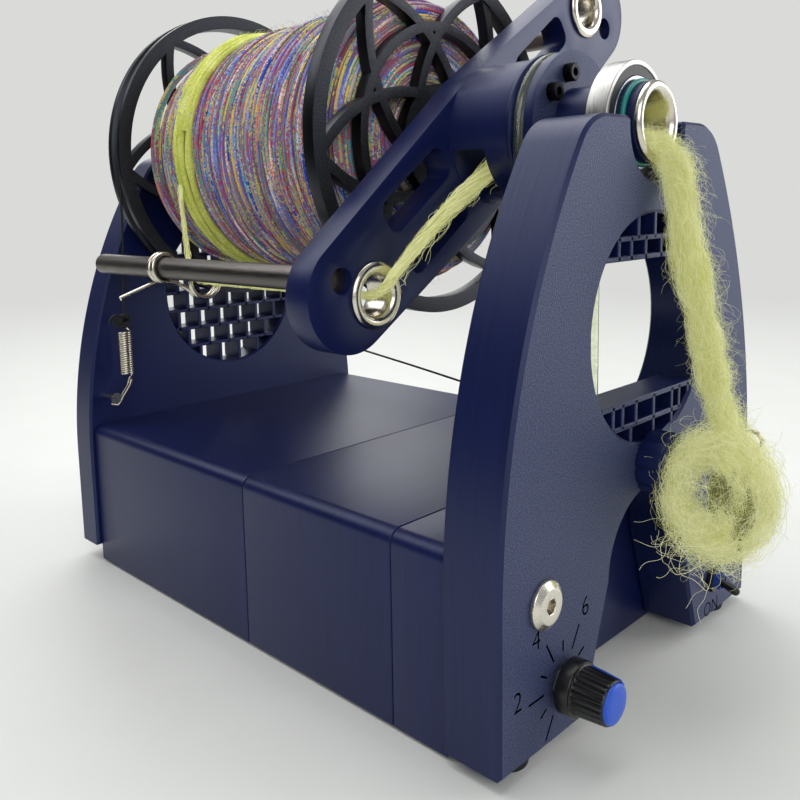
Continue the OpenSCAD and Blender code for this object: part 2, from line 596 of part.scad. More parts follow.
// pressed nickel eyelet at the mouth
module orifice_eyelet() color("#cdc8bc") placed() difference() {
    lathe_y([[7.6, 3], [8.2, 0.6], [9.6, -0.4], [11, -0.4], [12, 0.6], [12, 1.8], [9.8, 1.95], [9.8, 18],
        [9, 18]]);
    lathe_y([[0, -2], [10.4, -2], [8.9, 0.4], [8.3, 3], [8.6, 19], [0, 19]]);
}
module orifice_ring() color("#0f8a8a") placed() translate([0, 5.3, axis_z]) rotate([90, 0, 0])
    rotate_extrude($fn = 96) translate([12.1, 0]) circle(0.85, $fn = 24);
module arm_eyelets() color("#cdc8bc") placed() at_flyer()
    for (s = [-1, 1]) translate([s * eyelet_u, 0, s * eyelet_v - axis_z])
        lathe_y([[6, plate_y0 - 0.6], [6.8, plate_y0 - 1.5], [9.6, plate_y0 - 1.5], [10.4, plate_y0 - 0.5],
            [10.2, plate_y0], [8.5, plate_y0], [8.5, plate_y1], [10.2, plate_y1], [10.4, plate_y1 + 0.5],
            [9.6, plate_y1 + 1.5], [6.8, plate_y1 + 1.5], [6, plate_y1 + 0.6]]);
module flyer_rods() color("#4a4744") placed() at_flyer() for (s = [-1, 1])
    translate([s * rod_reach, plate_y0 + 3, s * rod_v]) rotate([-90, 0, 0]) {
        cylinder(r = rod_d / 2, h = rod_y1 - plate_y0 - 3 - 2);
        translate([0, 0, rod_y1 - plate_y0 - 5]) cylinder(r1 = rod_d / 2, r2 = rod_d / 2 - 1.6, h = 2);
    }
module flyer_shaft() color("#c8c8c8") placed() bar_y(shaft_r, plate_y0 + 1, rbrg_y + 9);

// ---- yarn: the strand runs from the hub through the arm eyelet and along the rod to the guide ----
module yarn_strand() color("#c3cf5a") placed() tube(routed(strand_route, 5), 1.3, 8, [0, 0, 1]);

// ---- yarn guides: wire clipped on the rods, with a straight handle and an open eye ----
guide_grip = rod_d / 2 + 0.3 + guide_wire;
function turn(cx, cz, r, a0, turns, y0, pitch, n) = [for (i = [0:n]) let (a = a0 + 360 * turns * i / n)
    [cx + r * cos(a), y0 - pitch * turns * i / n, cz + r * sin(a)]];
// drawn upright about the rod's centre: handle, two turns about the rod, two turns of eye
guide_path = concat([[-15.4, 4.6, -10.4], [-3, 3.2, -6]],
    turn(0, 0, guide_grip, -90, 2, guide_pitch, guide_pitch, 36), [[4.5, -3.1, -6.2]],
    turn(guide_eye[0], guide_eye[1], guide_eye_r, -150, 1.9, -4, 2.4, 32));
module yarn_guide(at_y) translate([0, at_y, 0]) rotate([0, flyer_angle, 0])
    tube(guide_path, guide_wire, 6, [0, 1, 0]);
module guide_lower() color("#cdc8bc") placed() at_flyer()
    translate([-rod_reach, 0, -rod_v]) yarn_guide(guide_y);
module guide_upper() color("#cdc8bc") placed() at_flyer() rotate([0, 180, 0])
    translate([-rod_reach, 0, -rod_v]) yarn_guide(guide_y - guide_offset);
// from the lower guide's eye up to the winding
module yarn_feed() color("#c3cf5a") placed() tube(routed(feed_route, 5), 1.3, 8, [0, 1, 0]);

// ---- bobbin ----
spoke_c = 40;
spoke_r = 52.5;
spoke_w = 3.6;
module flange_face() difference() {
    intersection() {
        circle(flange_r - 1);
        union() {
            for (i = [0:spokes - 1]) rotate([0, 0, i * 360 / spokes + 6]) translate([spoke_c, 0])
                difference() {
                circle(spoke_r + spoke_w / 2);
                circle(spoke_r - spoke_w / 2);
            }
            circle(core_r + 3);
            difference() {
                circle(flange_r * 0.66);
                circle(flange_r * 0.66 - 3.4);
            }
        }
    }
    circle(bush_r);
}
module rim(y, t, width) translate([0, 0, axis_z]) difference() {
    bar_y(flange_r, y, y + t, 0, 0);
    bar_y(flange_r - width, y - 1, y + t + 1, 0, 0);
}
module bobbin_front_flange() color("#17171a") placed() {
    rim(bob_y0, flange_t, 5.5);
    translate([0, 0, axis_z]) slab(bob_y0 + 0.6, flange_t - 0.6) flange_face();
}
// the rear rim is double, with the groove for the brake cord between
module bobbin_rear_flange() color("#17171a") placed() difference() {
    union() {
        rim(bob_y1 - rear_rim, rear_rim, 5.5);
        translate([0, 0, axis_z]) slab(bob_y1 - rear_rim, flange_t - 0.6) flange_face();
    }
    lathe_y([[flange_r - 2.6, brake_y - 1], [flange_r + 1, brake_y - 2.4], [flange_r + 1, brake_y + 2.4],
        [flange_r - 2.6, brake_y + 1]]);
}
module bobbin_core() color("#17171a") placed() difference() {
    bar_y(core_r, bob_y0 + flange_t, bob_y1 - rear_rim);
    bar_y(core_r - 3, bob_y0, bob_y1);
}
module bobbin_bushes() color("#d8d4c4") placed() for (y = [bob_y0, bob_y1 - rear_rim]) difference() {
    union() {
        bar_y(bush_r, y, y + flange_t - 0.6 + (y == bob_y0 ? 0.6 : 0));
        bar_y(core_r - 3, y == bob_y0 ? y + flange_t : y - 6, y == bob_y0 ? y + flange_t + 6 : y);
    }
    bar_y(shaft_r + 0.06, y - 8, y + 12);
}
// wound yarn: a plain core under one outer layer of loops
module yarn_core() color("#8f7f9c") placed() difference() {
    bar_y(wind_r - wind_tube - 0.2, bob_y0 + flange_t + 1, bob_y1 - rear_rim - 1);
    bar_y(core_r, bob_y0, bob_y1);
}
wind_pitch = (wind_y1 - wind_y0) / wind_loops;
function wind_at(t) = [wind_r * cos(360 * t), wind_y0 + wind_pitch * t, axis_z + wind_r * sin(360 * t)];
wind_path = [for (i = [0:wind_loops * 24]) wind_at(i / 24)];
module yarn_winding() color("#b58a9a") placed() tube(wind_path, wind_tube, 6, [0, 1, 0]);

// ---- brake ----
// from the spring up and over the bobbin's groove, down to the eye, forward to the knob's shaft
brake_r = flange_r - 2.6 + cord_r + 0.4;
brake_a0 = 178.7;
brake_a1 = 5.5;
brake_arc = [for (i = [0:24]) let (a = brake_a0 - (brake_a0 - brake_a1) * i / 24)
    [brake_r * cos(a), brake_y, axis_z + brake_r * sin(a)]];
brake_path = concat(routed(brake_left, 3), brake_arc, routed(brake_right, 4));
module brake_cord() color("#17171a") placed() tube(brake_path, cord_r, 8, [0, 1, 0]);
spring_pitch = (spring_z1 - spring_z0) / spring_coils;
spring_path = [for (i = [0:spring_coils * 8]) let (a = 45 * i)
    [spring_x + spring_r * cos(a), spring_y + spring_r * sin(a), spring_z0 + spring_pitch * i / 8]];
module brake_spring() color("#cdc8bc") placed() tube(concat([[spring_x - 6.2, spring_y + 3.4, spring_z0 - 12.4],
    [spring_x - 4.6, spring_y + 2.6, spring_z0 - 13.2], [spring_x - 2.6, spring_y + 1.4, spring_z0 - 9.5],
    [spring_x, spring_y + 0.2, spring_z0 - 5], [spring_x + 0.8, spring_y - 0.4, spring_z0 - 2]],
    spring_path, [[spring_x + 1, spring_y, spring_z1 + 1.4], [spring_x + 0.2, spring_y, spring_z1 + 3]]),
    spring_wire, 6, [1, 0, 0]);
// least distance between turns, measured on points half a turn or more apart
function gap(p, d, skip, step) = min([for (i = [0:step:len(p) - 1])
    for (j = [i + skip:1:min(i + 3 * skip, len(p) - 1)]) norm(p[i] - p[j])]) - d;
echo(winding_gap = gap(wind_path, 2 * wind_tube, 14, 7));
echo(spring_gap = gap(spring_path, 2 * spring_wire, 5, 3));
// pin for the spring, screw eye on the rear upright, hanging eye plate behind the front upright
module brake_fittings() color("#cdc8bc") placed() {
    bar_y(1.4, spring_y + 1, rear_y + 8, anchor_x, anchor_z);
    bar_y(2.4, spring_y, spring_y + 1, anchor_x, anchor_z);
    translate([eye_x, brake_y, eye_z]) rotate_extrude($fn = 48) translate([2.2, 0]) circle(0.6, $fn = 16);
    bar_y(0.7, brake_y + 2.2, rear_y + 8, eye_x, eye_z);
    difference() {
        union() {
            translate([front_eye_x - 3, front_t, tension_z - 1]) cube([6, 4.5, 2.5]);
            translate([front_eye_x - 3, front_t + 3, tension_z - 8]) cube([6, 1.5, 8]);
        }
        bar_y(1.9, front_t, front_t + 6, front_eye_x, front_eye_z);
    }
}
module tension_knob() color("#2b2f63") placed() difference() {
    union() {
        bar_y(10, -7.6, -0.4, 0, tension_z);
        bar_y(9.2, -8.4, -7.6, 0, tension_z);
    }
    for (a = [0:30:359]) bar_y(1.3, -9, 0, 10.7 * cos(a), tension_z + 10.7 * sin(a));
    bar_y(3, -5, 0, 0, tension_z);
}
module tension_shaft() color("#c8c8c8") placed() {
    bar_y(3, -5, front_t + 8, 0, tension_z);
    bar_y(4.6, front_t + 1, front_t + 2, 0, tension_z);
    bar_y(4.6, front_t + 7, front_t + 8, 0, tension_z);
}

// ---- fibre ----
module fibre_hook() color("#cdc8bc") placed() {
    bar_y(0.7, -hook_reach + 0.3, 8, hook_x, hook_z);
    translate([hook_x, -hook_reach - hook_r + 0.4, hook_z]) rotate([0, 90, 0]) rotate([0, 0, 90])
        rotate_extrude(angle = 270, $fn = 64) translate([hook_r, 0]) circle(0.8, $fn = 24);
    bar_y(2.2, -0.8, 0, hook_x, hook_z);
}
module fibre_roving() color("#c9d36a") placed() tube(routed(roving_route, 4), 4.5, 10, [0, 1, 0]);
// flattened ball of combed fibre between the knob and the hook
nest_ring = 20;
nest_rows = 8;
nest_at = [for (j = [1:nest_rows - 1]) for (i = [0:nest_ring - 1])
    let (b = 180 * j / nest_rows, a = 360 * i / nest_ring)
    [nest_x + nest_rx * sin(b) * cos(a), nest_y + nest_ry * sin(b) * sin(a), nest_z + nest_rz * cos(b)]];
module fibre_nest() color("#c9d36a") placed() {
    n = len(nest_at);
    side = [for (j = [0:nest_rows - 3]) for (i = [0:nest_ring - 1])
        let (k = (i + 1) % nest_ring, p = j * nest_ring)
        for (h = [0, 1]) h == 0 ? [p + i, p + nest_ring + k, p + nest_ring + i]
            : [p + i, p + k, p + nest_ring + k]];
    caps = [for (i = [0:nest_ring - 1]) let (k = (i + 1) % nest_ring) for (h = [0, 1])
        h == 0 ? [n, k, i] : [n + 1, n - nest_ring + i, n - nest_ring + k]];
    tips = [[nest_x, nest_y, nest_z + nest_rz], [nest_x, nest_y, nest_z - nest_rz]];
    polyhedron(concat(nest_at, tips), concat(side, caps));
}

front_upright();
rear_upright();
base_front();
base_middle();
base_rear();
bottom_cover();
bottom_screws();
rubber_feet();
front_bolts();
rear_bolts();
front_bearing_outer();
front_bearing_seals();
front_bearing_balls();
front_bearing_inner();
rear_bearing_outer();
rear_bearing_inner();
motor();
motor_bracket();
motor_screws();
motor_shaft();
motor_pulley();
pulley_grub_screw();
control_board();
board_screws();
power_inlet();
speed_pot();
pot_nut();
pot_shaft();
speed_knob();
knob_cap();
switch_body();
switch_nut();
switch_lever();
drive_belt();
flyer_plate();
orifice_tube();
cap_screws();
orifice_eyelet();
orifice_ring();
arm_eyelets();
flyer_rods();
flyer_shaft();
yarn_strand();
yarn_feed();
guide_lower();
guide_upper();
bobbin_front_flange();
bobbin_rear_flange();
bobbin_core();
bobbin_bushes();
yarn_core();
yarn_winding();
brake_cord();
brake_spring();
brake_fittings();
tension_knob();
tension_shaft();
fibre_hook();
fibre_roving();
fibre_nest();
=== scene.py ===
# Electric yarn spinner, seen from its front left: printed uprights and base, a belt-driven flyer,
# a braked bobbin of wound yarn and a hank of combed wool hanging from the orifice.
import json
import math
import random

import bmesh
import bpy
from mathutils import Matrix, Vector, noise
from mathutils.geometry import tessellate_polygon


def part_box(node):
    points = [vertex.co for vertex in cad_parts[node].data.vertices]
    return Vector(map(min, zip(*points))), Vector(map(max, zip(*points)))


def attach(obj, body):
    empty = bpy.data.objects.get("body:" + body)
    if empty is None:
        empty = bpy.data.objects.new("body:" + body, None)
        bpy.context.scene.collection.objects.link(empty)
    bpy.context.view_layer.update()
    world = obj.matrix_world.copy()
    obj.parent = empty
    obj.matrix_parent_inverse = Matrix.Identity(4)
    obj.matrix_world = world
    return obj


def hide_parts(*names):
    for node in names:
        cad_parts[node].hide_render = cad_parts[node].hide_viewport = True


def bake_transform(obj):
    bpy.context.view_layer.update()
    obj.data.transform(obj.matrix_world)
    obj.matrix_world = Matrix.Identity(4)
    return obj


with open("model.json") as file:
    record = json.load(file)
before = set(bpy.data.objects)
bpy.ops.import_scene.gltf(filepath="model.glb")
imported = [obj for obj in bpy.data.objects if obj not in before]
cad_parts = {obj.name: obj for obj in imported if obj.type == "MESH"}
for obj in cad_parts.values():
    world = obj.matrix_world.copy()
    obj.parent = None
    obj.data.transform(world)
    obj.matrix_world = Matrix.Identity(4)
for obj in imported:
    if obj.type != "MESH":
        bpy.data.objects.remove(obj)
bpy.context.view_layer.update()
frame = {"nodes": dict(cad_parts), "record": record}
mm = 0.001
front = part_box("front_upright")[0].y
axis_z = 176


def at(x, y, z):
    """A point given in millimetres from the centre line, the front face and the table."""
    return Vector((x * mm, front + y * mm, z * mm))


# ---- Camera, floor and light ----
# A phone's view from the left of the front, a little above the axis. A pale paper sweep, soft light.
scene = bpy.context.scene
scene.view_settings.view_transform = "Standard"
eye = at(-239.9, -122.1, 154.2)
yaw, pitch, roll = 0.780, 0.145, -0.021
ahead = Vector((math.sin(yaw) * math.cos(pitch), math.cos(yaw) * math.cos(pitch), -math.sin(pitch)))
level = Vector((math.cos(yaw), -math.sin(yaw), 0))
upward = level.cross(ahead)
right = level * math.cos(roll) + upward * math.sin(roll)
up = upward * math.cos(roll) - level * math.sin(roll)
camera = bpy.data.objects.new("camera", bpy.data.cameras.new("camera"))
scene.collection.objects.link(camera)
camera.matrix_world = Matrix((
    (right.x, up.x, -ahead.x, eye.x), (right.y, up.y, -ahead.y, eye.y),
    (right.z, up.z, -ahead.z, eye.z), (0, 0, 0, 1)))
camera.data.sensor_width = 36
camera.data.lens = 38.26
camera.data.shift_x = 0.031
camera.data.shift_y = -0.0915
camera.data.clip_start = 0.01
scene.camera = camera


def linear(code):
    """An sRGB hex colour as the linear colour that a shader takes."""
    parts = [int(code[i:i + 2], 16) / 255 for i in (0, 2, 4)]
    return tuple(c / 12.92 if c <= 0.04045 else ((c + 0.055) / 1.055) ** 2.4 for c in parts) + (1.0,)


def add(tree, kind, inputs=None, **settings):
    """A node in tree with its settings, and its inputs set to values or linked to sockets."""
    node = tree.nodes.new(kind)
    for name, value in settings.items():
        setattr(node, name, value)
    for name, value in (inputs or {}).items():
        if isinstance(value, bpy.types.NodeSocket):
            tree.links.new(value, node.inputs[name])
        else:
            node.inputs[name].default_value = value
    return node


def new_material(name, **values):
    """An empty material: its tree, its shader with the values given, and Object coordinates."""
    material = bpy.data.materials.new(name)
    material.use_nodes = True
    tree = material.node_tree
    tree.nodes.clear()
    shader = add(tree, "ShaderNodeBsdfPrincipled")
    for socket, value in values.items():
        shader.inputs[socket.replace("_", " ")].default_value = value
    add(tree, "ShaderNodeOutputMaterial", {"Surface": shader.outputs[0]})
    return material, tree, shader, add(tree, "ShaderNodeTexCoord").outputs["Object"]


def mixed(tree, factor, low, high, blend="MIX"):
    """A colour between two, which are hex codes or sockets."""
    a, b = [linear(c) if isinstance(c, str) else c for c in (low, high)]
    return add(tree, "ShaderNodeMix", {"Factor": factor, "A": a, "B": b}, data_type="RGBA",
               blend_type=blend).outputs["Result"]


def ranged(tree, value, low, high, to_low, to_high):
    return add(tree, "ShaderNodeMapRange", {0: value, 1: low, 2: high, 3: to_low, 4: to_high}).outputs[0]


def speckle(tree, place, size_mm, detail=3.0, **settings):
    """Noise whose grains are about that many millimetres."""
    return add(tree, "ShaderNodeTexNoise", {"Vector": place, "Scale": 1 / (size_mm * mm), "Detail": detail},
               **settings).outputs["Fac"]


def bumped(tree, shader, height, depth_mm, strength=1.0):
    bump = add(tree, "ShaderNodeBump", {"Height": height, "Distance": depth_mm * mm, "Strength": strength})
    tree.links.new(bump.outputs[0], shader.inputs["Normal"])


# paper sweep: flat under the object, curved up to a wall 2.6 m behind it
bend_start, bend_r, wall_top = 1.2, 1.4, 3.0
profile = [(-4.0, 0.0), (bend_start, 0.0)]
profile += [(bend_start + bend_r * math.sin(a), bend_r - bend_r * math.cos(a))
            for a in (math.radians(90 * i / 24) for i in range(1, 25))] + [(bend_start + bend_r, wall_top)]
away = Vector((math.sin(yaw), math.cos(yaw), 0))
rows = [[away * s + level * w + Vector((0, 0, z)) for w in (-5, 5)] for s, z in profile]
paper_mesh = bpy.data.meshes.new("sweep")
paper_mesh.from_pydata([p for row in rows for p in row], [],
                       [(2 * i, 2 * i + 1, 2 * i + 3, 2 * i + 2) for i in range(len(rows) - 1)])
paper_mesh.shade_smooth()
floor = bpy.data.objects.new("sweep", paper_mesh)
scene.collection.objects.link(floor)
paper, tree, shader, place = new_material("pale_paper", Roughness=0.55)
tree.links.new(mixed(tree, speckle(tree, place, 40), "d9dad6", "e0e1dd"), shader.inputs["Base Color"])
bumped(tree, shader, speckle(tree, place, 2.0), 0.05, 0.3)
far = add(tree, "ShaderNodeVectorMath", {0: place}, operation="LENGTH").outputs["Value"]
view = add(tree, "ShaderNodeLightPath").outputs["Is Camera Ray"]
share = add(tree, "ShaderNodeMath", {0: ranged(tree, far, 0.25, 1.3, 0, 1), 1: view}, operation="MULTIPLY").outputs[0]
glow = add(tree, "ShaderNodeEmission", {"Color": linear("dadbd8")})
blend = add(tree, "ShaderNodeMixShader", {0: share, 1: shader.outputs[0], 2: glow.outputs[0]})
tree.links.new(blend.outputs[0], tree.nodes["Material Output"].inputs["Surface"])
paper_mesh.materials.append(paper)

world = bpy.data.worlds.new("studio")
scene.world = world
world.use_nodes = True
tree = world.node_tree
tree.nodes.clear()
soft = add(tree, "ShaderNodeBackground", {"Color": linear("eef0f4"), "Strength": 0.45})
seen = add(tree, "ShaderNodeBackground", {"Color": linear("dcddda"), "Strength": 1.0})
rays = add(tree, "ShaderNodeLightPath")
sight = add(tree, "ShaderNodeMath", {0: rays.outputs["Is Camera Ray"], 1: rays.outputs["Is Transmission Ray"]},
            operation="MAXIMUM")
both = add(tree, "ShaderNodeMixShader", {0: sight.outputs[0], 1: soft.outputs[0], 2: seen.outputs[0]})
add(tree, "ShaderNodeOutputWorld", {"Surface": both.outputs[0]})


def lamp(name, place, target, size, power):
    """A square soft box that faces the target."""
    light = bpy.data.lights.new(name, "AREA")
    light.size = size
    light.energy = power
    holder = bpy.data.objects.new(name, light)
    scene.collection.objects.link(holder)
    holder.location = place
    holder.rotation_mode = "QUATERNION"
    holder.rotation_quaternion = (Vector(target) - Vector(place)).to_track_quat("-Z", "Y")


lamp("top_box", (0.1, 0.25, 1.3), (0, 0, 0.1), 1.2, 12)
lamp("left_box", (-0.6, 0.95, 1.15), (0, 0, 0.1), 0.7, 4)
lamp("right_box", (1.0, -0.75, 0.55), (0, -0.05, 0.1), 0.9, 8)
lamp("back_box", (0.7, 1.1, 0.8), (0, 0, 0.15), 0.9, 5)
lamp("front_fill", (-0.85, -1.05, 0.75), (0, 0, 0.1), 0.9, 6)
# a dark flag out of view on the left keeps the sides that face it deep blue
flag_mesh = bpy.data.meshes.new("flag")
flag_mesh.from_pydata([(-0.95, -0.1, 0.0), (-0.35, 1.0, 0.0), (-0.35, 1.0, 0.52), (-0.95, -0.1, 0.52)], [],
                      [(0, 1, 2, 3)])
flag_mesh.materials.append(new_material("black_flag", Base_Color=linear("08090c"), Roughness=0.9)[0])
flag = bpy.data.objects.new("flag", flag_mesh)
scene.collection.objects.link(flag)
flag.visible_camera = False

# ---- Uprights ----
# Two thick panels of dark blue PLA, printed flat: the face that lay on the bed is pebbled, the edges
# show layer lines. Round windows hold thin lattices. The bearing seats are open at the top.


def printed(name, body, sheen_colour, glint_colour, way, rough=0.44, streaks=1.0):
    """Printed PLA: pebbled where it lay on the textured bed, and lighter there in painted sheen and glints;
    glossier with fine ridges elsewhere.

    The ridges are 0.2 mm apart on the object and are drawn 0.5 mm apart, so that they show.
    """
    material, tree, shader, place = new_material(name, IOR=1.46, Specular_Tint=(0.74, 0.8, 1.0, 1.0))
    facing = add(tree, "ShaderNodeSeparateXYZ", {0: tree.nodes["Texture Coordinate"].outputs["Normal"]})
    flat = add(tree, "ShaderNodeMath", {0: facing.outputs[way]}, operation="ABSOLUTE").outputs[0]
    on_face = ranged(tree, flat, 0.9, 0.98, 0.0, 1.0 if sheen_colour else 0.0)
    pebbles = speckle(tree, place, 0.5, 3.0)
    where = add(tree, "ShaderNodeSeparateXYZ", {0: place}).outputs[way]
    turns = add(tree, "ShaderNodeMath", {0: where, 1: 2 * math.pi / (0.5 * mm)}, operation="MULTIPLY").outputs[0]
    ridges = add(tree, "ShaderNodeMath", {0: turns}, operation="SINE").outputs[0]
    stripes = add(tree, "ShaderNodeMapping", {"Vector": place, "Scale": [1 if i == way else 0.04 for i in range(3)]})
    bands = speckle(tree, stripes.outputs[0], 1.6, 2.0)
    edge = add(tree, "ShaderNodeMath", {0: ridges, 1: 0.1, 2: ranged(tree, bands, 0, 1, 0, streaks)},
               operation="MULTIPLY_ADD").outputs[0]
    height = add(tree, "ShaderNodeMix", {"Factor": on_face, "A": edge, "B": pebbles}).outputs["Result"]
    deep = add(tree, "ShaderNodeMath", {0: height, 1: ranged(tree, on_face, 0, 1, 0.35, 1.0)},
               operation="MULTIPLY").outputs[0]
    bumped(tree, shader, deep, 0.2, 1.0)
    cloud = speckle(tree, place, 30)
    # painted sheen and glints: the bed face takes a lighter colour for the haze of light it reflects, and its pebble
    # tips a lighter one still for their glints
    glint_tips = ranged(tree, pebbles, 0.4, 0.62, 0.0, 1.0)
    grains = mixed(tree, glint_tips, sheen_colour or body, glint_colour or body)
    shade = ranged(tree, add(tree, "ShaderNodeMath", {0: cloud, 1: 0.5, 2: bands}, operation="MULTIPLY_ADD").outputs[0],
                   0.5, 1.0, 0.86, 1.2)
    plain = mixed(tree, 1.0, body, shade, "MULTIPLY")
    tree.links.new(mixed(tree, on_face, plain, grains), shader.inputs["Base Color"])
    tree.links.new(ranged(tree, on_face, 0, 1, rough - 0.08, rough + 0.06), shader.inputs["Roughness"])
    return material


# the two lighter colours on the bed face are painted sheen and painted glints
navy = printed("navy_pla", "0f1843", "22294b", "434a6b", 1)
upright_half, upright_top = 77, 177
side_top, side_r, shoulder_r = 48.5, 227, 16
arch_r, arch_z, arch_foot = 23, 41.5, 36
window_r, window_z = 35, 114.5
lip, bar = 1.6, 1.6


def arc(cx, cz, r, a0, a1, n):
    """Points along an arc in X and Z, with angles in degrees."""
    steps = [math.radians(a0 + (a1 - a0) * i / n) for i in range(n + 1)]
    return [(cx + r * math.cos(a), cz + r * math.sin(a)) for a in steps]


def circle(cx, cz, r, n=72):
    return arc(cx, cz, r, 0, 360, n)[:-1]


def clean(points):
    """The closed loop without neighbours that fall on one another."""
    kept = []
    for p in points:
        if not kept or math.dist(p, kept[-1]) > 1e-3:
            kept.append(p)
    if math.dist(kept[0], kept[-1]) < 1e-3:
        kept.pop()
    return kept


def area_of(points):
    return sum(a[0] * b[1] - b[0] * a[1] for a, b in zip(points, points[1:] + points[:1])) / 2


def inset(points, width):
    """The loop drawn in by a width on the left of its run, with mitred corners."""
    out = []
    for a, b, c in zip(points[-1:] + points[:-1], points, points[1:] + points[:1]):
        d, e = Vector(b) - Vector(a), Vector(c) - Vector(b)
        n1, n2 = Vector((-d.y, d.x)).normalized(), Vector((-e.y, e.x)).normalized()
        m = (n1 + n2).normalized()
        out.append(tuple(Vector(b) + m * width / max(m.dot(n1), 0.5)))
    return out


def add_plate(bm, loops, y0, y1, edge0=0.0, edge1=0.0):
    """A flat plate from y0 to y1 with chamfered rims: the first loop is its outline, the rest are holes."""
    loops = [clean(p) for p in loops]
    loops = [p if (area_of(p) > 0) == (i == 0) else p[::-1] for i, p in enumerate(loops)]
    rings = ([(y0, edge0)] if edge0 else []) + [(y0 + edge0, 0), (y1 - edge1, 0)] + ([(y1, edge1)] if edge1 else [])
    caps = []
    for y, width in rings:
        drawn = [inset(p, width) if width else p for p in loops]
        caps.append([[bm.verts.new(at(x, y, z)) for x, z in p] for p in drawn])
    for lower, upper in zip(caps, caps[1:]):
        for a, b in zip(lower, upper):
            for i in range(len(a)):
                j = (i + 1) % len(a)
                bm.faces.new((a[i], a[j], b[j], b[i]))
    for cap, flip in ((caps[0], False), (caps[-1], True)):
        flat = [v for ring in cap for v in ring]
        for tri in tessellate_polygon([[Vector((v.co.x, v.co.z, 0)) for v in ring] for ring in cap]):
            corners = [flat[i] for i in tri]
            turn = (corners[1].co - corners[0].co).cross(corners[2].co - corners[0].co).y
            if turn:
                bm.faces.new(corners if (turn < 0) != flip else corners[::-1])


def place_mesh(name, mesh, body, material, replaces=()):
    """A finished mesh as a piece on a body and the nodes that it stands for."""
    piece = bpy.data.objects.new(name, mesh)
    scene.collection.objects.link(piece)
    if material:
        mesh.materials.clear()
        mesh.materials.append(material)
    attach(piece, body)
    if replaces:
        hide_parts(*replaces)
    return piece


def finish_piece(name, bm, body, material, replaces=(), smooth=35, recalculate=False):
    """The bmesh as a piece, smooth but for edges sharper than the angle."""
    if recalculate:
        bmesh.ops.recalc_face_normals(bm, faces=bm.faces)
    mesh = bpy.data.meshes.new(name)
    bm.to_mesh(mesh)
    bm.free()
    mesh.shade_smooth()
    mesh.set_sharp_from_angle(angle=math.radians(smooth))
    return place_mesh(name, mesh, body, material, replaces)


def side_line(z0):
    """Right side of the panel, from its foot up to the flat top."""
    big_x, shoulder_z = upright_half - side_r, upright_top - shoulder_r
    rise = shoulder_z - side_top
    shoulder_x = big_x + math.sqrt((side_r - shoulder_r) ** 2 - rise ** 2)
    turn = math.degrees(math.asin(rise / (side_r - shoulder_r)))
    return ([(upright_half, z0)] + arc(big_x, side_top, side_r, 0, turn, 40)
            + arc(shoulder_x, shoulder_z, shoulder_r, turn, 90, 16))


def upright_loop(z0, notch, arched):
    """Outline of a panel: sides, open seat of that radius with rounded mouth, and an arch between the legs."""
    side = side_line(z0)
    mouth = arc(notch + lip, upright_top - lip, lip, 90, 180, 5)
    seat = mouth + arc(0, axis_z - 1, notch, 0, -180, 40) + [(-x, z) for x, z in mouth[::-1]]
    arch = [(-arch_foot, z0)] + arc(0, arch_z, arch_r, 180, 0, 36) + [(arch_foot, z0)] if arched else []
    return side + seat + [(-x, z) for x, z in side][::-1] + arch


def lattice(bm, bars, y0, y1):
    """Thin bars across the round window, each cut to the circle: way, place, from, to."""
    reach = window_r + 0.8
    for way, place, a, b in bars:
        if way == "h":
            off = max(abs(place - window_z), abs(place + bar - window_z))
        else:
            off = max(abs(place), abs(place + bar))
            a, b = a - window_z, b - window_z
        half = math.sqrt(max(reach ** 2 - off ** 2, 0))
        a, b = max(a, -half), min(b, half)
        if b <= a:
            continue
        if way == "h":
            loop = [(a, place), (b, place), (b, place + bar), (a, place + bar)]
        else:
            loop = [(place, window_z + a), (place + bar, window_z + a), (place + bar, window_z + b),
                    (place, window_z + b)]
        add_plate(bm, [loop], y0, y1, 0.25, 0.25)


def upright(name, node, notch, seat, bearing, bars, holes, material, arched):
    """One panel, in three slices so that the bearing's seat is wider than its lips."""
    low, high = [(v - at(0, 0, 0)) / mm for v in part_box(node)]
    start, end = [(v.y - front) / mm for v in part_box(bearing)]
    window = circle(0, window_z, window_r)
    bm = bmesh.new()
    for y0, y1, r, edge0, edge1 in ((low.y, start, notch, 1.0, 0), (start, end, seat, 0, 0),
                                    (end, high.y, notch, 0, 0.7)):
        add_plate(bm, [upright_loop(low.z, r, arched), window] + holes, y0, y1, edge0, edge1)
    lattice(bm, bars, low.y + 0.6, low.y + 12.6)
    return finish_piece(name, bm, "root", material, [node])


front_bars = [("h", z, -40, 40) for z in (92.6, 85.6, 136, 141.6)]
front_bars += [("v", x, 86, 94) for x in (-22.5, -17, -9, 2, 14, 19, 25)]
front_bars += [("v", x, 70, 86.5) for x in (-12, 2, 14)]
front_bars += [("v", x, 136, 143) for x in (-21, -14, -5.5, 4, 13, 19)]
front_bars += [("v", x, 142, 160) for x in (-10, 0, 9)]
rear_bars = [("h", 88.5 + i * 8.5, -40, 40) for i in range(7)]
rear_bars += [("v", x + (i % 2) * 5, 80 + i * 8.5, 89 + i * 8.5) for i in range(8) for x in range(-30, 33, 11)]
bolt_x, bolt_z, bolt_hole = 57.5, 46.5, 3.2
bolt_holes = [circle(s * bolt_x, bolt_z, bolt_hole, 24) for s in (-1, 1)]
upright("front_panel", "front_upright", 16, 18.5, "front_bearing_outer", front_bars, bolt_holes, navy, True)
smooth_navy = printed("navy_pla_smooth", "0e1745", None, None, 1, 0.44, 0.35)
upright("rear_panel", "rear_upright", 8.5, 11, "rear_bearing_outer", rear_bars, bolt_holes, smooth_navy, False)

# ---- Base ----
# Three printed box sections end to end, with a fine open seam between one and the next. Each is the
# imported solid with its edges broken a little, so that the seams and corners catch the light.


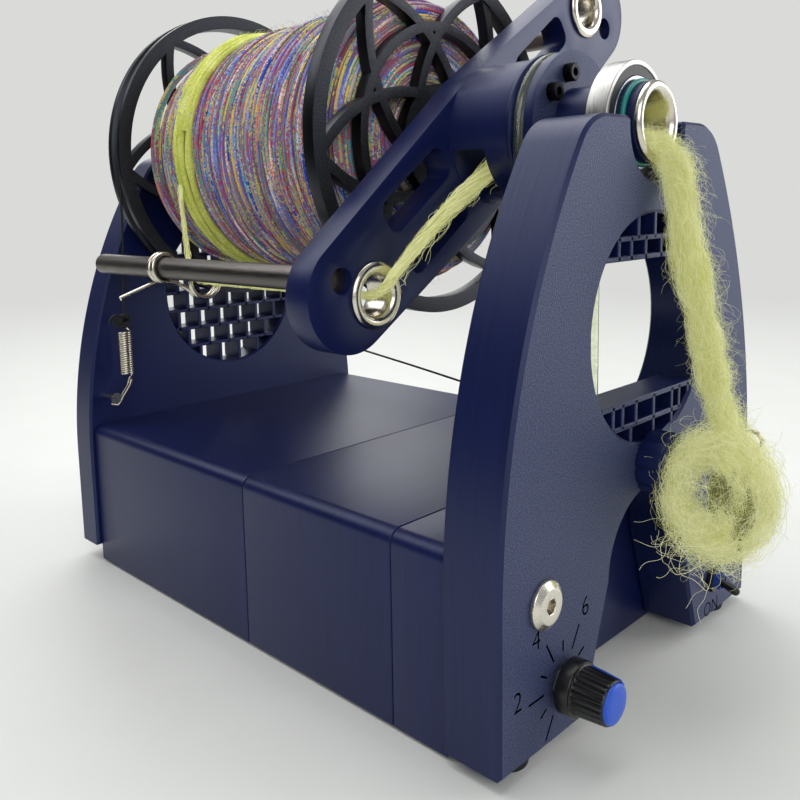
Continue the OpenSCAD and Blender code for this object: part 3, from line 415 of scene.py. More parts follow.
def softened(name, nodes, body, material, width, segments=2, seam=0.0):
    """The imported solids, merged, cleared of needless edges, with small rounded edges and open seams in Y."""
    bm = bmesh.new()
    for node in nodes:
        bm.from_mesh(frame["nodes"][node].data)
    bmesh.ops.remove_doubles(bm, verts=bm.verts, dist=1e-6)
    bmesh.ops.dissolve_limit(bm, angle_limit=math.radians(0.6), verts=bm.verts, edges=bm.edges)
    sharp = [e for e in bm.edges if len(e.link_faces) == 2 and e.calc_face_angle(0) > math.radians(32)]
    bmesh.ops.bevel(bm, geom=sharp, offset=width * mm, segments=segments, profile=0.6, affect="EDGES",
                    clamp_overlap=True, harden_normals=False)
    bmesh.ops.triangulate(bm, faces=[f for f in bm.faces if len(f.verts) > 4])
    if seam:
        y0, y1 = min(v.co.y for v in bm.verts), max(v.co.y for v in bm.verts)
        for v in bm.verts:
            v.co.y = (y0 + y1) / 2 + (v.co.y - (y0 + y1) / 2) * (1 - seam * mm / (y1 - y0))
    return finish_piece(name, bm, body, material, nodes, 30)


for section in ("base_front", "base_middle", "base_rear"):
    softened(section + "_shell", [section], "root", smooth_navy, 0.4, 3, seam=0.35)

# ---- Bolts, feet and other small hardware ----
# Furniture bolts of satin nickel with a hex socket; black oxide screws; round rubber feet.


def metal(name, code, rough, streak_mm=0.6, squeeze=(1, 1, 1), depth=0.02):
    """A metal with fine marks from rolling, turning or tumbling."""
    material, tree, shader, place = new_material(name, Metallic=1.0)
    drawn = add(tree, "ShaderNodeMapping", {"Vector": place, "Scale": squeeze}).outputs[0]
    marks = speckle(tree, drawn, streak_mm)
    shade = ranged(tree, marks, 0.3, 0.7, 0.86, 1.04)
    tree.links.new(mixed(tree, 1.0, code, shade, "MULTIPLY"), shader.inputs["Base Color"])
    tree.links.new(ranged(tree, marks, 0.3, 0.7, rough * 0.7, rough * 1.35), shader.inputs["Roughness"])
    bumped(tree, shader, marks, depth, 0.6)
    return material


def moulded(name, code, rough, grain_mm=0.5, depth=0.05, **values):
    """Moulded plastic or rubber with a faint grain."""
    material, tree, shader, place = new_material(name, Roughness=rough, **values)
    grain = speckle(tree, place, grain_mm)
    shade = ranged(tree, grain, 0.3, 0.7, 0.82, 1.12)
    tree.links.new(mixed(tree, 1.0, code, shade, "MULTIPLY"), shader.inputs["Base Color"])
    bumped(tree, shader, grain, depth, 0.4)
    return material


nickel = metal("nickel_plate", "d8d2c4", 0.2)
satin_nickel = metal("satin_nickel", "e2ddd0", 0.26, 0.3)
ground_steel = metal("ground_steel", "b2b1ae", 0.34, 0.6, (0.05, 1, 0.05), 0.05)
rod_coat = metal("coated_rod", "6a6663", 0.4, 0.3, (1, 0.05, 1), 0.02)
oxide = metal("black_oxide", "1a1a1c", 0.36, 0.4)
rubber = moulded("foot_rubber", "0e0e10", 0.7)
black_abs = moulded("black_abs", "0d0d0f", 0.3, 0.4, 0.02)
softened("front_bolt_pair", ["front_bolts"], "root", satin_nickel, 0.3, 3)
softened("rear_bolt_pair", ["rear_bolts"], "root", satin_nickel, 0.3, 3)
softened("feet", ["rubber_feet"], "root", rubber, 0.3)

# ---- Bearings ----
# Ground steel rings with a fine lead at each edge, a dark rubber seal between them.
softened("front_race", ["front_bearing_outer"], "root", ground_steel, 0.35, 3)
softened("front_race_inner", ["front_bearing_inner"], "flyer",
         metal("blued_steel", "a9adbb", 0.3, 0.5, (0.06, 1, 0.06), 0.015), 0.25, 3)

# ---- Belt and drive ----
# A round belt of clear, slightly green polyurethane, welded into a loop, from the motor pulley in the
# base up to the groove behind the cap disc.


def new_socket(tree, name, kind, way="INPUT"):
    return tree.interface.new_socket(name, in_out=way, socket_type="NodeSocket" + kind)


def sweep_nodes():
    """Lines into tubes: each point has its own thickness, and the section is round."""
    tree = bpy.data.node_groups.new("swept_tube", "GeometryNodeTree")
    new_socket(tree, "Lines", "Geometry")
    inputs = {"Sides": new_socket(tree, "Sides", "Int"), "Thickness": new_socket(tree, "Thickness", "Float"),
              "Finish": new_socket(tree, "Finish", "Material")}
    new_socket(tree, "Tubes", "Geometry", "OUTPUT")
    given = add(tree, "NodeGroupInput").outputs
    thick = add(tree, "GeometryNodeInputNamedAttribute", {"Name": "thick"}, data_type="FLOAT").outputs[0]
    scale = add(tree, "ShaderNodeMath", {0: thick, 1: given["Thickness"]}, operation="MULTIPLY").outputs[0]
    line = add(tree, "GeometryNodeMeshToCurve", {"Mesh": given["Lines"]}).outputs[0]
    section = add(tree, "GeometryNodeCurvePrimitiveCircle", {"Resolution": given["Sides"], "Radius": 1.0}).outputs[0]
    tube = add(tree, "GeometryNodeCurveToMesh", {"Curve": line, "Profile Curve": section, "Scale": scale,
                                                 "Fill Caps": True}).outputs[0]
    real = add(tree, "GeometryNodeRealizeInstances", {"Geometry": tube}).outputs[0]
    done = add(tree, "GeometryNodeSetMaterial", {"Geometry": real, "Material": given["Finish"]}).outputs[0]
    add(tree, "NodeGroupOutput", {"Tubes": done})
    return tree, {name: socket.identifier for name, socket in inputs.items()}


sweeper, sweep_inputs = sweep_nodes()


def applied(name, mesh, tree, inputs, values):
    """The mesh after a geometry node tree, as a plain mesh."""
    holder = bpy.data.objects.new(name + "_lines", mesh)
    scene.collection.objects.link(holder)
    modifier = holder.modifiers.new("shape", "NODES")
    modifier.node_group = tree
    for key, value in values.items():
        modifier[inputs[key]] = value
    bpy.context.view_layer.update()
    result = bpy.data.meshes.new_from_object(holder.evaluated_get(bpy.context.evaluated_depsgraph_get()))
    bpy.data.objects.remove(holder)
    result.name = name
    return result


def swept(name, lines, body, material, slot, replaces=(), sides=10, ends=None):
    """Lines as tubes. A line is points in metres, a half thickness in mm for each or for all, and a shade."""
    mesh = bpy.data.meshes.new(name)
    points, edges, thick, run, tone = [], [], [], [], []
    for line in lines:
        path, half, shade = line[:3]
        base, length = len(points), 0.0
        for i, p in enumerate(path):
            length += (p - path[i - 1]).length if i else 0.0
            points.append(p)
            thick.append((half[i] if isinstance(half, list) else half) * mm)
            run.append(length)
            tone.append(shade)
        edges += [(base + i, base + i + 1) for i in range(len(path) - 1)]
        if len(line) > 3:
            edges.append((base + len(path) - 1, base))
    mesh.from_pydata(points, edges, [])
    for key, values in (("thick", thick), ("run", run), ("tone", tone)):
        mesh.attributes.new(key, "FLOAT", "POINT").data.foreach_set("value", values)
    tubes = applied(name, mesh, sweeper, sweep_inputs, {"Sides": sides, "Thickness": 1.0, "Finish": material})
    tubes.shade_smooth()
    if sides > 4:
        tubes.set_sharp_from_angle(angle=math.radians(50))
    piece = bpy.data.objects.new(name, tubes)
    scene.collection.objects.link(piece)
    if ends:
        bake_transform(piece)
    else:
        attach(piece, body)
    if replaces:
        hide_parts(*replaces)
    return piece


def smooth_route(points, steps):
    """A smooth line through the points, with that many steps from one to the next."""
    points = [Vector(p) for p in points]
    out = []
    for i in range(len(points) - 1):
        a, b = points[max(i - 1, 0)], points[i]
        c, d = points[i + 1], points[min(i + 2, len(points) - 1)]
        for k in range(steps):
            t = k / steps
            out.append(0.5 * (2 * b + (c - a) * t + (2 * a - 5 * b + 4 * c - d) * t * t
                              + (3 * b - a - 3 * c + d) * t ** 3))
    return out + [points[-1]]


belt_pu = moulded("clear_polyurethane", "eaf0d6", 0.07, 1.5, 0.01, Transmission_Weight=0.97, IOR=1.47)
belt_y, belt_r, motor_r, motor_z, belt_half = 34, 22.7, 24, 32, 1.4
belt_lean = math.degrees(math.asin((belt_r - motor_r) / (axis_z - motor_z)))
loop = arc(0, axis_z, belt_r, -belt_lean, 180 + belt_lean, 48)
loop += arc(0, motor_z, motor_r, 180 + belt_lean, 360 - belt_lean, 48)
swept("round_belt", [([at(x, belt_y, z) for x, z in loop], belt_half, 0.5, True)], "root", belt_pu, "belt",
      ["drive_belt"], 20)

# ---- Speed control and switch ----
# A knob of glossy black ABS with a skirt, fine flutes and a blue cap whose pointer runs down the side; marks and
# numbers are engraved round it, and ON under the toggle switch.
control_x, knob_z = 48, 20


def ribbed_turning(bm, profile, x, z, ribs=0, ring=96):
    """A lathed solid about a line along Y: radius, place along Y and flute depth at each step."""
    rings = []
    for r, y, deep in profile:
        if r == 0:
            rings.append([bm.verts.new(at(x, y, z))])
            continue
        row = []
        for i in range(ring):
            a = 2 * math.pi * i / ring
            cut = deep * max(0.0, math.cos(ribs * a)) ** 2 if ribs else 0
            row.append(bm.verts.new(at(x + (r - cut) * math.cos(a), y, z + (r - cut) * math.sin(a))))
        rings.append(row)
    for low, high in zip(rings, rings[1:] + rings[:1]):
        if len(low) == 1 and len(high) == 1:
            continue
        for i in range(ring):
            j = (i + 1) % ring
            corners = [low[i % len(low)], low[j % len(low)], high[j % len(high)], high[i % len(high)]]
            bm.faces.new([v for k, v in enumerate(corners) if v not in corners[:k]])


skirt_r, body_r0, body_r1 = 8.0, 6.9, 6.25
bm = bmesh.new()
ribbed_turning(bm, [(0, -2.0, 0), (7.2, -2.0, 0), (skirt_r, -2.3, 0), (skirt_r, -5.9, 0), (7.75, -6.3, 0),
                    (body_r0 + 0.2, -6.35, 0), (body_r0, -6.55, 0.05), (body_r0 - 0.02, -7.2, 0.4),
                    (body_r1 + 0.1, -15.0, 0.4), (body_r1, -15.6, 0.1), (body_r1 - 0.3, -15.9, 0),
                    (5.75, -15.9, 0), (5.7, -15.0, 0), (0, -15.0, 0)], -control_x, knob_z, 22, 176)
finish_piece("knob_body", bm, "knob", black_abs, ["speed_knob"], 40, True)
blue_abs = moulded("blue_abs", "1450c4", 0.36, 0.5, 0.015)
bm = bmesh.new()
ribbed_turning(bm, [(0, -14.9, 0), (5.7, -14.9, 0), (5.72, -16.1, 0), (5.5, -16.6, 0), (5.0, -16.85, 0),
                    (3.0, -17.0, 0), (0, -17.05, 0)], -control_x, knob_z, 0, 96)
pointer_turn = math.radians(45)
out = Vector((math.sin(pointer_turn), 0, math.cos(pointer_turn)))
side = Vector((math.cos(pointer_turn), 0, -math.sin(pointer_turn)))
strip = [(-6.4, body_r0 + 0.42), (-10, body_r0 + 0.3), (-15.4, body_r1 + 0.42), (-16.3, body_r1 - 0.1), (-16.6, 5.2)]
rows = []
for y, r in strip:
    half = [(-0.75, r - 0.9), (-0.75, r - 0.15), (-0.5, r)]
    rows.append([bm.verts.new(at(-control_x, y, knob_z) + (out * h + side * w) * mm)
                 for w, h in half + [(-w, h) for w, h in half[::-1]]])
for a, b in zip(rows, rows[1:]):
    for i in range(6):
        bm.faces.new((a[i], a[(i + 1) % 6], b[(i + 1) % 6], b[i]))
bm.faces.new(rows[0])
bm.faces.new(rows[-1][::-1])
finish_piece("knob_cap_blue", bm, "knob", blue_abs, ["knob_cap"], 40, True)

# painted shadow: the engraved marks and letters are near-black, matt and unreflecting, for the shade in their grooves
groove_shadow = moulded("engraved_shadow", "020204", 1.0, Specular_IOR_Level=0.0)
mark_deep, mark_proud = 0.4, 0.04


def mark(bm, x, z, turn, r0, r1, width):
    """A straight engraved stroke that points at the knob's centre, drawn as a near-black strip of painted groove
    shadow.
    """
    c, s = math.cos(turn), math.sin(turn)
    loop = [(x + r * s + w * c, z + r * c - w * s) for r, w in ((r0, -width / 2), (r0, width / 2), (r1, width / 2),
                                                                 (r1, -width / 2))]
    add_plate(bm, [loop], -mark_proud, mark_deep)


bm = bmesh.new()
for step in (0, 1, 2, 3, 4, 5, 6, 7, 9, 10):
    mark(bm, -control_x, knob_z, math.radians((step - 5) * 30), 9.2, 16.4 if step % 2 == 0 else 12.4, 0.6)
finish_piece("dial_marks", bm, "root", groove_shadow)


def label(name, text, size, x, z):
    """Plain lettering, cut in the front face, drawn as near-black letters of painted groove shadow."""
    curve = bpy.data.curves.new(name, "FONT")
    curve.body = text
    curve.size = size * mm
    curve.extrude = 0.15 * mm
    curve.offset = -0.014 * size * mm
    curve.align_x, curve.align_y = "CENTER", "CENTER"
    holder = bpy.data.objects.new(name + "_curve", curve)
    scene.collection.objects.link(holder)
    bpy.context.view_layer.update()
    mesh = bpy.data.meshes.new_from_object(holder.evaluated_get(bpy.context.evaluated_depsgraph_get()))
    bpy.data.objects.remove(holder)
    mesh.transform(Matrix.Translation(at(x, 0.11, z)) @ Matrix.Rotation(math.radians(90), 4, "X"))
    mesh.name = name
    return place_mesh(name, mesh, "root", groove_shadow)


number_r, number_size = 21.5, 8.4
for number, turn in ((2, -82), (4, -37), (6, 32)):
    turn = math.radians(turn)
    label(f"number_{number}", str(number), number_size, -control_x + number_r * math.sin(turn),
          knob_z + number_r * math.cos(turn))
label("switch_label", "ON", 7.4, control_x + 1, 6.6)

# ---- Flyer ----
# The plate with its windows, the hollow hub and the thin cap disc are printed; the plate clamps the two
# rods, and pressed nickel eyelets line the holes that the yarn runs through.
flyer_turn = math.radians(36)


def turned(u, v):
    """A place on the flyer, along and across the plate, as X and Z of the machine."""
    c, s = math.cos(flyer_turn), math.sin(flyer_turn)
    return u * c - v * s, axis_z + u * s + v * c


softened("flyer_arm", ["flyer_plate"], "flyer", smooth_navy, 0.45, 2)
softened("orifice_and_cap", ["orifice_tube"], "flyer", navy, 0.3, 2)
softened("rods", ["flyer_rods"], "flyer", rod_coat, 0.3, 2)
softened("shaft", ["flyer_shaft"], "flyer", ground_steel, 0.3, 2)


def rounded(points, radius, steps=4):
    """A closed loop with its corners rounded, by less where the sides are short."""
    out = []
    for a, b, c in zip(points[-1:] + points[:-1], points, points[1:] + points[:1]):
        a, b, c = Vector(a), Vector(b), Vector(c)
        cut = min(radius, (a - b).length * 0.48, (c - b).length * 0.48)
        p, q = b + (a - b).normalized() * cut, b + (c - b).normalized() * cut
        for i in range(steps + 1):
            t = i / steps
            out.append(tuple(p * (1 - t) ** 2 + b * 2 * t * (1 - t) + q * t * t))
    return out


def turned_ring(bm, points, x, z, ring=96):
    """A closed loop of radius and place along Y, turned round a line along Y."""
    ribbed_turning(bm, [(r, y, 0) for r, y in points], x, z, 0, ring)


lip_loop = [(9.85, 18), (9.85, 2.0), (12.0, 1.9), (12.1, 0.7), (11.2, -0.4), (9.6, -0.3), (8.5, 1.2), (8.1, 4),
            (8.6, 18)]
bm = bmesh.new()
turned_ring(bm, rounded(lip_loop, 0.9, 5), 0, axis_z, 128)
finish_piece("mouth_eyelet", bm, "flyer", nickel, ["orifice_eyelet"], 60, True)
plate_y0, plate_y1, eyelet_u, eyelet_v = 61, 71, 76.4, 6
arm_loop = [(8.4, plate_y0 + 0.2), (10.3, plate_y0 + 0.05), (10.5, plate_y0 - 0.7), (9.5, plate_y0 - 1.6),
            (7.6, plate_y0 - 1.5), (6.4, plate_y0 - 0.4), (6.1, plate_y0 + 2), (6.1, plate_y1 - 2),
            (6.4, plate_y1 + 0.4), (7.6, plate_y1 + 1.5), (9.5, plate_y1 + 1.6), (10.5, plate_y1 + 0.7),
            (10.3, plate_y1 - 0.05), (8.4, plate_y1 - 0.2)]
bm = bmesh.new()
for s in (-1, 1):
    turned_ring(bm, rounded(arm_loop, 0.7, 4), *turned(s * eyelet_u, s * eyelet_v), 96)
finish_piece("arm_eyelet_pair", bm, "flyer", nickel, ["arm_eyelets"], 60, True)

# cap screws: small socket heads of black steel, knurled round the side
screw_r, screw_y0, screw_y1, socket_r = 2.75, 25, 28, 1.3
cap_screw_r, cap_screw_at = 17.6, (72, 108, 252, 288)
bm = bmesh.new()
socket_floor, screw_rim, knurl = screw_y0 + 1.5, 0.35, 0.22
ribbed_turning(bm, [(0, socket_floor, 0), (socket_r, socket_floor, 0), (socket_r, screw_y0, 0),
                    (screw_r - screw_rim, screw_y0, 0), (screw_r, screw_y0 + screw_rim, knurl),
                    (screw_r, screw_y1 + 1, knurl), (0, screw_y1 + 1, 0)], 0, 0, 24, 96)
head = bpy.data.meshes.new("screw_head")
bmesh.ops.translate(bm, verts=bm.verts, vec=-at(0, 0, 0))
bmesh.ops.recalc_face_normals(bm, faces=bm.faces)
bm.to_mesh(head)
bm.free()


def repeat_nodes():
    """A copy of one object at each point of the mesh."""
    tree = bpy.data.node_groups.new("repeated_screw", "GeometryNodeTree")
    new_socket(tree, "Places", "Geometry")
    inputs = {"Screw": new_socket(tree, "Screw", "Object"), "Finish": new_socket(tree, "Finish", "Material")}
    new_socket(tree, "Screws", "Geometry", "OUTPUT")
    given = add(tree, "NodeGroupInput").outputs
    one = add(tree, "GeometryNodeObjectInfo", {"Object": given["Screw"]}).outputs["Geometry"]
    each = add(tree, "GeometryNodeInstanceOnPoints", {"Points": given["Places"], "Instance": one}).outputs[0]
    real = add(tree, "GeometryNodeRealizeInstances", {"Geometry": each}).outputs[0]
    done = add(tree, "GeometryNodeSetMaterial", {"Geometry": real, "Material": given["Finish"]}).outputs[0]
    add(tree, "NodeGroupOutput", {"Screws": done})
    return tree, {name: socket.identifier for name, socket in inputs.items()}


repeater, repeat_inputs = repeat_nodes()
pattern_piece = bpy.data.objects.new("screw_pattern", head)
scene.collection.objects.link(pattern_piece)
spots = bpy.data.meshes.new("screw_places")
spokes = [math.radians(a) for a in cap_screw_at]
places = [turned(cap_screw_r * math.cos(a), cap_screw_r * math.sin(a)) for a in spokes]
spots.from_pydata([at(x, 0, z) for x, z in places], [], [])
screws = applied("cap_screw_heads", spots, repeater, repeat_inputs, {"Screw": pattern_piece, "Finish": oxide})
bpy.data.objects.remove(pattern_piece)
screws.shade_smooth()
screws.set_sharp_from_angle(angle=math.radians(35))
place_mesh("cap_screw_heads", screws, "flyer", None, ["cap_screws"])

# ---- Yarn guides ----
# Bent nickel wire: a straight handle, two turns that grip the rod, and a double pigtail for the yarn.
grip_r, wire_half, guide_pitch, rod_u, rod_v, guide_y = 5.15, 0.88, 2.6, -84.5, 6.6, 160
eye_x, eye_z, eye_r = 14, -6, 6


def coil(cx, cz, r, a0, turns, y0, pitch, n):
    """Turns of wire about a line along Y, as points."""
    out = []
    for i in range(n + 1):
        a = math.radians(a0 + 360 * turns * i / n)
        out.append((cx + r * math.cos(a), y0 - pitch * turns * i / n, cz + r * math.sin(a)))
    return out


wire = smooth_route([(-15.4, 4.6, -10.4), (-9.2, 3.9, -8.2), (-3, 3.2, -6)] + coil(0, 0, grip_r, -90, 2, guide_pitch,
                    guide_pitch, 36) + [(4.5, -3.1, -6.2)] + coil(eye_x, eye_z, eye_r, -150, 1.9, -4, 2.4, 34), 3)
for name, node, body, sign, y in (("pigtail_lower", "guide_lower", "guide_a", 1, guide_y),
                                  ("pigtail_upper", "guide_upper", "guide_b", -1, guide_y - 20)):
    cx, cz = turned(sign * rod_u, sign * rod_v)
    path = [at(cx + sign * p.x, y + p.y, cz + sign * p.z) for p in wire]
    swept(name, [(path, wire_half, 0.5)], body, nickel, "nickel", [node], 12)

# ---- Bobbin ----
# Black PLA whose bed face has painted glints on its pebbles: two rims on curved spokes round a hollow core, which the
# wound yarn hides; the rear rim has the groove for the brake cord.
glinting_black_pla = printed("black_pla", "040405", "060607", "2e2e31", 1, 0.4)
softened("front_flange", ["bobbin_front_flange"], "bobbin", glinting_black_pla, 0.3, 2)
softened("rear_flange", ["bobbin_rear_flange"], "bobbin", glinting_black_pla, 0.3, 2)

# ---- Wound yarn ----
# Hand-dyed single-ply art yarn, thick and thin, laid almost square to the axis and crossing a little,
# over a core of older layers; the newest turns are plain yellow-green.
wind_y0, wind_y1 = 89.5, 203.5
pack_front, pack_rear, end_round = 50.0, 46.6, 7.0


def pack_radius(y):
    """Radius of the package: it swells towards the front and rounds off at its ends."""
    t = (y - wind_y0) / (wind_y1 - wind_y0)
    r = pack_front + (pack_rear - pack_front) * t + 0.9 * math.sin(math.pi * t) - 0.9
    r += 0.5 * math.sin(y * 0.21) + 0.35 * math.sin(y * 0.53 + 1)
    short = max(0.0, end_round - min(y - wind_y0, wind_y1 - y)) / end_round
    return r - 5.0 * short ** 2


def yarn_material(name, codes, patch_mm):
    """Dyed wool yarn: colour changes along the strand, soft matt fibre with a little sheen."""
    material, tree, shader, place = new_material(name, Roughness=0.85, Sheen_Weight=0.25, Sheen_Roughness=0.4)
    run = add(tree, "ShaderNodeAttribute", attribute_name="run").outputs["Fac"]
    tone = add(tree, "ShaderNodeAttribute", attribute_name="tone").outputs["Fac"]
    along = add(tree, "ShaderNodeMath", {0: run, 1: 1 / (patch_mm * mm)}, operation="MULTIPLY").outputs[0]
    heather = add(tree, "ShaderNodeMath", {0: speckle(tree, place, 1.1), 1: 0.9, 2: along},
                  operation="MULTIPLY_ADD").outputs[0]
    apart = add(tree, "ShaderNodeMath", {0: tone, 1: 900.0, 2: heather}, operation="MULTIPLY_ADD").outputs[0]
    dye = add(tree, "ShaderNodeTexNoise", {"W": apart, "Scale": 1.0, "Detail": 2.0}, noise_dimensions="1D")
    ramp = add(tree, "ShaderNodeValToRGB", {0: ranged(tree, dye.outputs["Fac"], 0.25, 0.75, 0, 1)})
    stops = ramp.color_ramp.elements
    for i in range(len(codes) - 2):
        stops.new((i + 1) / (len(codes) - 1))
    for stop, code in zip(stops, codes):
        stop.color = linear(code)
    fuzz = speckle(tree, place, 0.45, 3.0)
    shade = ranged(tree, fuzz, 0.3, 0.7, 0.85, 1.25)
    tree.links.new(mixed(tree, 1.0, ramp.outputs[0], shade, "MULTIPLY"), shader.inputs["Base Color"])
    bumped(tree, shader, fuzz, 0.3, 1.0)
    return material


dyed = yarn_material("dyed_wool", ["1c41b8", "6cc4e2", "f6e56a", "b4b2e2", "4a74d0", "c23450", "2fa5a8", "f6d24a",
                                   "8474c4", "e47838", "fffcf4", "2450c8"], 48.0)
fresh = yarn_material("yellow_green_wool", ["cfd65e", "e2e67a", "c3cc50", "eef0a4"], 20.0)


def laid(y_from, y_to, turns, lift, wander, seed, half, shade):
    """A strand laid over the package from one place to another, with slubs."""
    per_turn = 72
    rng = random.Random(seed)
    phase = rng.uniform(0, 6.283)
    path, thick = [], []
    for i in range(int(turns * per_turn) + 1):
        t = i / (turns * per_turn)
        a = 2 * math.pi * turns * t + phase
        y = y_from + (y_to - y_from) * t + wander * noise.noise(Vector((a * 0.35, seed, 0)))
        y = min(max(y, wind_y0), wind_y1)
        slub = noise.noise(Vector((a * 2.3, seed * 1.7, 5)))
        size = half * (1 + 0.35 * slub + (0.9 if slub > 0.42 else 0) * (slub - 0.42) * 3)
        r = pack_radius(y) + lift + 0.25 * noise.noise(Vector((a * 3.1, seed, 9)))
        x, z = r * math.cos(a), axis_z + r * math.sin(a)
        path.append(at(x, y, z))
        thick.append(size)
    return path, thick, shade


def end_spiral(y, seed):
    """A strand wound out over the flat end of the package."""
    path, thick = [], []
    turns, per_turn = 27, 60
    for i in range(turns * per_turn + 1):
        a = 2 * math.pi * i / per_turn
        r = 17.5 + 1.15 * i / per_turn + 0.9 * noise.noise(Vector((a * 0.5, seed, 2)))
        path.append(at(r * math.cos(a), y + 0.35 * noise.noise(Vector((a * 1.1, seed, 7))), axis_z + r * math.sin(a)))
        thick.append(0.62 * (1 + 0.35 * noise.noise(Vector((a * 2.0, seed, 4)))))
    return path, thick, 0.05 * seed


rng = random.Random(11)
strands = [laid(wind_y0, wind_y1, 104, 0.0, 0.5, 1, 0.62, 0.13)]
strands += [laid(wind_y1 - 1, wind_y0 + 1, 58, 0.75, 3.6, 2, 0.5, 0.41)]
for k in range(34):
    a = rng.uniform(wind_y0 + 2, wind_y1 - 26)
    strands.append(laid(a, a + rng.uniform(6, 26) * rng.choice((1, 1, -0.3)), rng.uniform(0.8, 2.6), 1.35, 4.0, 20 + k,
                        0.46, rng.random()))
strands += [end_spiral(wind_y0 - 0.2, 5), end_spiral(wind_y1 + 0.2, 9)]
swept("wound_singles", strands, "bobbin", dyed, "wound_yarn", ["yarn_winding"], 5)
bm = bmesh.new()
ends = [(17.0, wind_y0 - 0.3)] + [(pack_radius(y) - 0.6, y) for y in [wind_y0 + i * 1.5 for i in range(77)]]
turned_ring(bm, ends + [(17.0, wind_y1 + 0.3)], 0, axis_z, 120)
old_layers = moulded("older_layers", "6d6478", 0.9, 1.0, 0.4)
finish_piece("package_core", bm, "bobbin", old_layers, ["yarn_core"], 60, True)
green = [laid(178, 183, 1.1, 2.3, 2.0, 71, 1.5, 0.2), laid(171, 178, 0.9, 2.5, 2.5, 72, 1.3, 0.6),
         laid(183, 175, 1.2, 3.0, 2.0, 73, 1.1, 0.8), laid(174, 180, 1.0, 3.2, 2.5, 75, 0.9, 0.5),
         laid(180, 173, 1.0, 3.0, 3.0, 76, 0.7, 0.9)]
swept("newest_turns", green, "bobbin", fresh, "new_yarn", (), 8)

# hairs that stand off the package
hairs, hair_count, hair_half = [], 2400, 0.045
for k in range(hair_count):
    new = k % 3 == 0
    y, a = (rng.uniform(168, 186) if new else rng.uniform(wind_y0 + 3, wind_y1 - 3)), rng.uniform(0, 6.283)
    r, lean, slide, rise = pack_radius(y) + 1.0, rng.uniform(-0.09, 0.09), rng.uniform(-3, 3), rng.uniform(0.8, 3.2)
    line = []
    for i in range(7):
        t = i / 6
        u, h = a + lean * t, r + rise * math.sin(t * 2.4) + (1.6 if new else 0)
        line.append(at(h * math.cos(u), y + slide * t * t, axis_z + h * math.sin(u)))
    hairs.append((line, hair_half, rng.random(), new))
for name, finish, slot, new in (("dyed_hairs", dyed, "wound_yarn", False), ("fresh_hairs", fresh, "new_yarn", True)):
    swept(name, [h[:3] for h in hairs if h[3] == new], "bobbin", finish, slot, (), 3)

# ---- Strand and feed ----
# Yellow-green wool, drafted thick at the hub and twisted thin at the eyelet; it runs along the rod to the lower guide,
# and from the guide up to the package; that last part moves with the guide.


def wool_material(name, low, high):
    """Combed wool: thin fibres that let light through, each a little lighter or darker than the next."""
    material, tree, shader, place = new_material(name, Roughness=0.7, Sheen_Weight=0.2, Emission_Strength=0.3)
    tone = add(tree, "ShaderNodeAttribute", attribute_name="tone").outputs["Fac"]
    cloud = speckle(tree, place, 6.0)
    both = add(tree, "ShaderNodeMath", {0: cloud, 1: 0.35, 2: tone}, operation="MULTIPLY_ADD").outputs[0]
    colour = mixed(tree, ranged(tree, both, 0.1, 1.25, 0, 1), low, high)
    tree.links.new(colour, shader.inputs["Base Color"])
    # a little glow stands for the light that wool scatters from fibre to fibre, which few bounces lose
    tree.links.new(colour, shader.inputs["Emission Color"])
    bumped(tree, shader, speckle(tree, place, 0.4), 0.1, 0.5)
    through = add(tree, "ShaderNodeBsdfTranslucent", {"Color": colour}).outputs[0]
    blend = add(tree, "ShaderNodeMixShader", {0: 0.42, 1: shader.outputs[0], 2: through})
    tree.links.new(blend.outputs[0], tree.nodes["Material Output"].inputs["Surface"])
    return material


wool = wool_material("combed_wool", "c9cb78", "fdfde4")


def side_frame(path, i):
    """Direction of the path at a point, and two directions across it."""
    t = (path[min(i + 1, len(path) - 1)] - path[max(i - 1, 0)]).normalized()
    a = t.cross(Vector((0.3, 0.2, 0.93))).normalized()
    return t, a, t.cross(a)


def fibres(path, count, seed, spread, span, crimp, half, twist=0.0, stray=0.0, reach=12.0, squash_to=1.0):
    """Crimped fibres along a path: spread is the bundle's half width in mm at each point of it."""
    rng = random.Random(seed)
    lines = []
    n = len(path)
    frames = [side_frame(path, i) for i in range(n)]
    for k in range(count):
        loose = rng.random() < stray
        length = rng.uniform(*span)
        first = rng.uniform(-0.1, 0.98)
        angle, out = rng.uniform(0, 6.283), math.sqrt(rng.random())
        phases = [rng.uniform(0, 6.283) for _ in range(4)]
        wave = rng.uniform(0.7, 1.5)
        steps = 26 if loose else 16
        pull = Vector((rng.uniform(-1, 1), rng.uniform(-1, 0.15), rng.uniform(-0.6, 0.5)))
        pull = pull * rng.uniform(0.25, 1) * reach
        line = []
        for i in range(steps + 1):
            s = first + length * i / steps
            if s < 0 or s > 1:
                continue
            j = min(int(s * (n - 1)), n - 2)
            f = s * (n - 1) - j
            centre = path[j].lerp(path[j + 1], f)
            t, a, b = (v.lerp(w, f) for v, w in zip(frames[j], frames[j + 1]))
            wide = (spread[j] * (1 - f) + spread[j + 1] * f) * out
            turn = angle + twist * s
            off = a * math.cos(turn) * wide + b * math.sin(turn) * wide * squash_to
            u = i / steps * wave * 12
            off += (a * math.sin(u + phases[0]) + b * math.sin(u * 1.3 + phases[1])) * crimp * (0.4 + out)
            off += t * math.sin(u * 0.8 + phases[2]) * crimp * 0.6
            if loose:
                away = (i / steps) ** 1.7
                curled = a * math.sin(u * 1.3 + phases[3]) + t * math.cos(u + phases[2])
                off += pull * away + curled * crimp * 2.2 * away
            line.append(centre + off * mm)
        if len(line) > 3:
            lines.append((line, half * rng.uniform(0.7, 1.3), rng.random()))
    return lines


def spread_over(path, values):
    """Values given at even places along the path, as one for each of its points."""
    out = []
    for i in range(len(path)):
        s = i / (len(path) - 1) * (len(values) - 1)
        j = min(int(s), len(values) - 2)
        out.append(values[j] + (values[j + 1] - values[j]) * (s - j))
    return out


